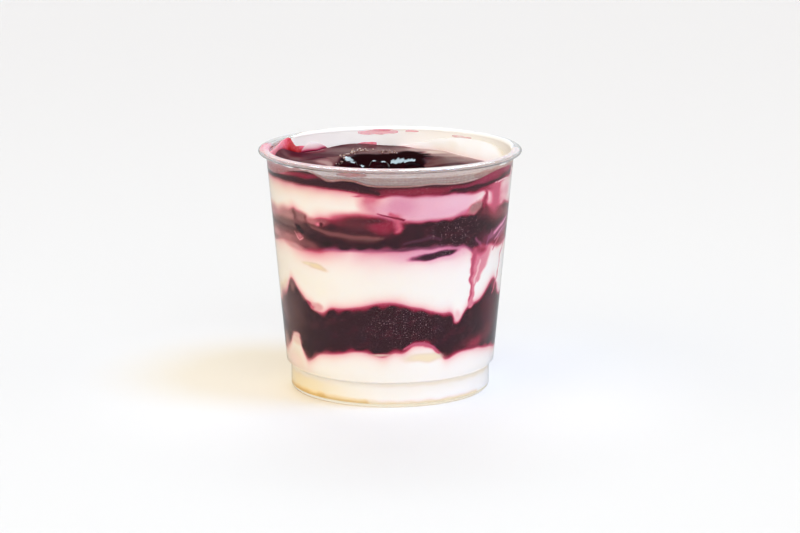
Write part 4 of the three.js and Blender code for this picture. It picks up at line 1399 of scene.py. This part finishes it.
# %% Rows of colours
# Each ramp: screen colours at the stops, from clean cream to the darkest compote
RAMP_STOPS = (0.0, 0.12, 0.30, 0.50, 0.68, 0.84, 1.0, 1.12)
MAUVE_RAMP = ((251, 249, 247), (247, 224, 232), (239, 190, 212), (218, 140, 178),
              (150, 88, 120), (96, 66, 84), (66, 49, 58), (35, 20, 30))
CRIMSON_RAMP = ((251, 249, 247), (250, 229, 228), (241, 186, 194), (215, 104, 132),
                (152, 56, 78), (92, 50, 60), (64, 47, 53), (32, 8, 10))
BROWN_RAMP = ((251, 248, 244), (240, 224, 206), (218, 194, 180), (176, 148, 142),
              (126, 100, 98), (92, 69, 69), (64, 49, 52), (34, 14, 14))
GOLD_RAMP = ((251, 249, 244), (249, 239, 213), (247, 225, 175), (232, 198, 128),
             (200, 155, 90), (150, 110, 70), (80, 60, 50), (34, 14, 14))
HUES, HUE_STEP = (MAUVE_RAMP, CRIMSON_RAMP, BROWN_RAMP, GOLD_RAMP), 0.5
STAIN_RANGE = 1.2
WALL_HAZE = 0.024     # light that the plastic adds over what lies behind it
LEAST_ALBEDO = (0.013, 0.003, 0.004)


def behind_wall(colour):
    """The paint that looks like this screen colour once the plastic's haze lies over it."""
    return [max((c - WALL_HAZE) / (1 - WALL_HAZE), least)
            for c, least in zip(linear(*colour), LEAST_ALBEDO)]


def colour_ramp(tree, place, colours):
    node = add_node(tree, "ShaderNodeValToRGB", {"Fac": place})
    ramp = node.color_ramp
    while len(ramp.elements) < len(RAMP_STOPS):
        ramp.elements.new(0.5)
    for element, stop, colour in zip(ramp.elements, RAMP_STOPS, colours):
        element.position = stop / STAIN_RANGE
        element.color = (*behind_wall(colour), 1)
    return node.outputs["Color"]


print(f"{len(HUES)} rows of {len(RAMP_STOPS)} colours")

# %% Stain group
MOTTLE_CELLS = 1900.0
SPECK_COLOUR, SPECK_CELLS, SPECK_SIZE, SPECK_SHARE = (196, 156, 166), 2500.0, 0.36, (0.54, 1.0)


def stain_group():
    tree = bpy.data.node_groups.new("berry stain", "ShaderNodeTree")
    for name in ("Stain", "Tone", "Specks", "Shade", "Grain"):
        tree.interface.new_socket(name, in_out="INPUT", socket_type="NodeSocketFloat")
    tree.interface.new_socket("Color", in_out="OUTPUT", socket_type="NodeSocketColor")
    given = add_node(tree, "NodeGroupInput").outputs
    place = object_place(tree)
    mottle = noise(tree, place, MOTTLE_CELLS, 3.0)
    cells = add_node(tree, "ShaderNodeTexVoronoi", {"Vector": place, "Scale": SPECK_CELLS}).outputs
    dot = map_range(tree, cells["Distance"], SPECK_SIZE, 0.6 * SPECK_SIZE)
    luck = add_node(tree, "ShaderNodeSeparateColor", {"Color": cells["Color"]}).outputs["Red"]
    chosen = map_range(tree, luck, *SPECK_SHARE)
    speck = math_node(tree, "MULTIPLY", math_node(tree, "MULTIPLY", dot, chosen), given["Specks"])
    clear = math_node(tree, "SUBTRACT", STAIN_RANGE, given["Stain"])
    mixed = math_node(tree, "MULTIPLY", clear, given["Stain"])
    grain = math_node(tree, "MULTIPLY", mixed, given["Grain"])
    swing = math_node(tree, "MULTIPLY", math_node(tree, "SUBTRACT", mottle, 0.5), grain)
    rough = math_node(tree, "ADD", given["Stain"], swing)
    share = math_node(tree, "DIVIDE", rough, STAIN_RANGE)
    look, *others = [colour_ramp(tree, share, colours) for colours in HUES]
    for step, other in enumerate(others):
        turn = map_range(tree, given["Tone"], HUE_STEP * step, HUE_STEP * step + HUE_STEP)
        look = mix_colours(tree, turn, look, other)
    dotted = mix_colours(tree, speck, look, (*behind_wall(SPECK_COLOUR), 1))
    light = math_node(tree, "SUBTRACT", 1.0, given["Shade"])
    shaded = add_node(tree, "ShaderNodeVectorMath", {0: dotted, "Scale": light}, operation="SCALE")
    add_node(tree, "NodeGroupOutput", {"Color": shaded.outputs[0]})
    return tree


STAIN_GROUP = stain_group()
print(f"{STAIN_GROUP.name}: {len(STAIN_GROUP.nodes)} nodes")

# %% [markdown]
# ## Materials of the food
#
# Behind the wall food touches plastic, and nothing shines there but the plastic itself, so the
# shader's own gloss is off and a coat is laid only where the painted "open" number says that the
# surface lies in air. Light soaks into cream, which a little subsurface scattering gives.

# %% Cream and compote
GLOW_COLOUR = (0.72, 0.85, 0.96, 1)       # daylight through a thin coat of cream from behind
CREAM_COAT, COMPOTE_COAT = 0.35, 0.06     # how rough the wet surface is


def read_mask(tree, name):
    return add_node(tree, "ShaderNodeAttribute", attribute_name=name).outputs["Fac"]


def food_material(name, coat_roughness, soak, grain, glow=0.0):
    material, tree = new_material(name)
    stain = add_node(tree, "ShaderNodeGroup", node_tree=STAIN_GROUP)
    for mask in ("Stain", "Tone", "Specks", "Shade"):
        tree.links.new(read_mask(tree, mask.lower()), stain.inputs[mask])
    stain.inputs["Grain"].default_value = grain
    shader = add_node(tree, "ShaderNodeBsdfPrincipled", {
        "Base Color": stain.outputs["Color"], "Roughness": 0.6, "Specular IOR Level": 0.0,
        "Coat Weight": read_mask(tree, "open"), "Coat Roughness": coat_roughness, "Coat IOR": 1.45,
        "Subsurface Weight": soak, "Subsurface Radius": (1.0, 0.8, 0.65),
        "Subsurface Scale": 1.2 * MM,
        "Emission Color": GLOW_COLOUR, "Emission Strength": glow})
    output(tree, shader.outputs["BSDF"])
    return material


cream_material = food_material("cheesecake_cream", CREAM_COAT, 0.25, 0.16)
# The film's emission is a painted glow for daylight that shines through it from behind
film_material = food_material("cheesecake_cream_film", CREAM_COAT, 0.0, 0.10, 0.21)
compote_material = food_material("berry_compote", COMPOTE_COAT, 0.0, 0.24)
for material in (cream_material, film_material, compote_material):
    print(f"{material.name}: {len(material.node_tree.nodes)} nodes")

# %% [markdown]
# ### Thin juice
#
# A film of juice is clear and takes its colour from the light behind it. A refracting film this
# thin would be slow and noisy, so the film is partly transparent by its cover number instead, and
# glows faintly for the light that comes through. Thick red juice and the greyish film on the front
# wall have a row of colours each.

# %% Juice
JUICE_RAMP = ((248, 236, 232), (246, 214, 216), (244, 164, 180), (234, 112, 134),
              (196, 64, 70), (140, 38, 46), (90, 34, 40), (34, 8, 12))
FILM_RAMP = ((248, 245, 246), (236, 218, 224), (198, 178, 186), (176, 134, 146),
             (146, 88, 100), (106, 58, 70), (72, 44, 52), (34, 8, 12))
JUICE_CELLS, JUICE_MOTTLE = 1500.0, 0.24


def juice_material(name, colours, glow):
    material, tree = new_material(name)
    mottle = noise(tree, object_place(tree), JUICE_CELLS, 3.0)
    share = math_node(tree, "MULTIPLY", read_mask(tree, "stain"), 1 / STAIN_RANGE)
    rough = math_node(tree, "MULTIPLY_ADD", mottle, JUICE_MOTTLE, share)
    even = math_node(tree, "SUBTRACT", rough, JUICE_MOTTLE / 2)
    colour = colour_ramp(tree, even, colours)
    shader = add_node(tree, "ShaderNodeBsdfPrincipled", {
        "Base Color": colour, "Roughness": 0.5, "Specular IOR Level": 0.0,
        "Coat Weight": read_mask(tree, "open"), "Coat Roughness": 0.08, "Coat IOR": 1.4,
        "Alpha": read_mask(tree, "cover"), "Emission Color": colour, "Emission Strength": glow,
        "Subsurface Weight": 1.0, "Subsurface Radius": (1.0, 0.6, 0.5),
        "Subsurface Scale": 1.5 * MM})
    output(tree, shader.outputs["BSDF"])
    return material


# The first word of a smear's name says which of these it gets
juice_materials = {"juice": juice_material("berry_juice", JUICE_RAMP, 0.12),
                   "lip": juice_material("berry_juice_lip", JUICE_RAMP, 0.04),
                   "film": juice_material("berry_film", FILM_RAMP, 0.0)}
print("juice:", ", ".join(material.name for material in juice_materials.values()))

# %% [markdown]
# ### Berry skin
#
# A glazed berry is nearly black, with a little uneven redness and the faintest dimpling. Its gloss
# is a clear coat that is strong only in the painted wet spots.

# %% Berry skin
BERRY_CELLS = 260.0
BERRY_STOPS, BERRY_COLOURS = (0.35, 0.75), ((20, 5, 8), (46, 10, 18))


def dimpled(tree, height, strength, depth):
    inputs = {"Height": height, "Strength": strength, "Distance": depth * MM}
    return add_node(tree, "ShaderNodeBump", inputs).outputs["Normal"]


def berry_material():
    material, tree = new_material("glazed_berry_skin")
    uneven = noise(tree, object_place(tree), BERRY_CELLS, 4.0)
    ramp = add_node(tree, "ShaderNodeValToRGB", {"Fac": uneven})
    for element, stop, colour in zip(ramp.color_ramp.elements, BERRY_STOPS, BERRY_COLOURS):
        element.position, element.color = stop, (*linear(*colour), 1)
    shader = add_node(tree, "ShaderNodeBsdfPrincipled", {
        "Base Color": ramp.outputs["Color"], "Roughness": 0.5, "Specular IOR Level": 0.0,
        "Coat Weight": read_mask(tree, "open"), "Coat Roughness": 0.05, "Coat IOR": 1.45,
        "Normal": dimpled(tree, uneven, 0.1, 0.1)})
    output(tree, shader.outputs["BSDF"])
    return material


berry_skin = berry_material()
print(f"{berry_skin.name}: {len(berry_skin.node_tree.nodes)} nodes")

# %% [markdown]
# ## Clear plastic
#
# Glass and clear plastic bend what is seen through them. A lamp's light through them is slow to
# trace, so for shadow and diffuse rays the plastic counts as simply transparent: the food behind
# the wall is lit as if the wall weren't there, and the camera still sees it bent and mirrored. A
# slow, shallow bump stands for the flow of the moulded plastic and breaks the long highlights.

# %% Plastic
PLASTIC_TINT, PLASTIC_FLOW = (0.985, 0.99, 0.99, 1), 60.0


def clear_plastic():
    material, tree = new_material("clear_plastic")
    flow = noise(tree, object_place(tree), PLASTIC_FLOW, 2.0)
    plastic = add_node(tree, "ShaderNodeBsdfPrincipled", {
        "Base Color": PLASTIC_TINT, "Roughness": 0.03, "IOR": 1.5, "Transmission Weight": 1.0,
        "Normal": dimpled(tree, flow, 0.08, 0.3)}).outputs["BSDF"]
    clear = add_node(tree, "ShaderNodeBsdfTransparent").outputs[0]
    rays = ("Is Diffuse Ray", "Is Shadow Ray")
    output(tree, swap_for_rays(tree, plastic, [(ray, clear) for ray in rays]))
    return material


plastic_material = clear_plastic()
print(f"{plastic_material.name}: {len(plastic_material.node_tree.nodes)} nodes")

# %% [markdown]
# ## Handing out
#
# Every piece gets its material and is attached to the body it rides on, and the CAD solids it takes
# the place of are hidden. The froth and the smears have no solid of their own, so they replace
# nothing.

# %% Hand out the materials
def dress(piece, material, slot, *nodes):
    piece.data.materials.append(material)
    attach(piece, "root")
    if nodes:
        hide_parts(*nodes)


dress(cup, plastic_material, "clear_plastic", "cup")
for piece in (*bands, cream_top, compote_top):
    node = piece.name.removesuffix("_fill")
    if node.startswith("cream"):
        dress(piece, cream_material, "cheesecake_cream", node)
    else:
        dress(piece, compote_material, "berry_compote", node)
dress(beads, compote_material, "berry_compote")
for number, piece in enumerate(berries, 1):
    dress(piece, berry_skin, "glazed_berry", f"berry_{number}")
for piece in smears:
    kind = piece.name.split("_")[0]
    if kind == "cream":
        dress(piece, film_material, "cheesecake_cream")
    else:
        dress(piece, juice_materials[kind], "berry_compote")
print(f"dressed: cup, {len(bands) + 2} bands, froth, {len(berries)} berries, {len(smears)} smears")
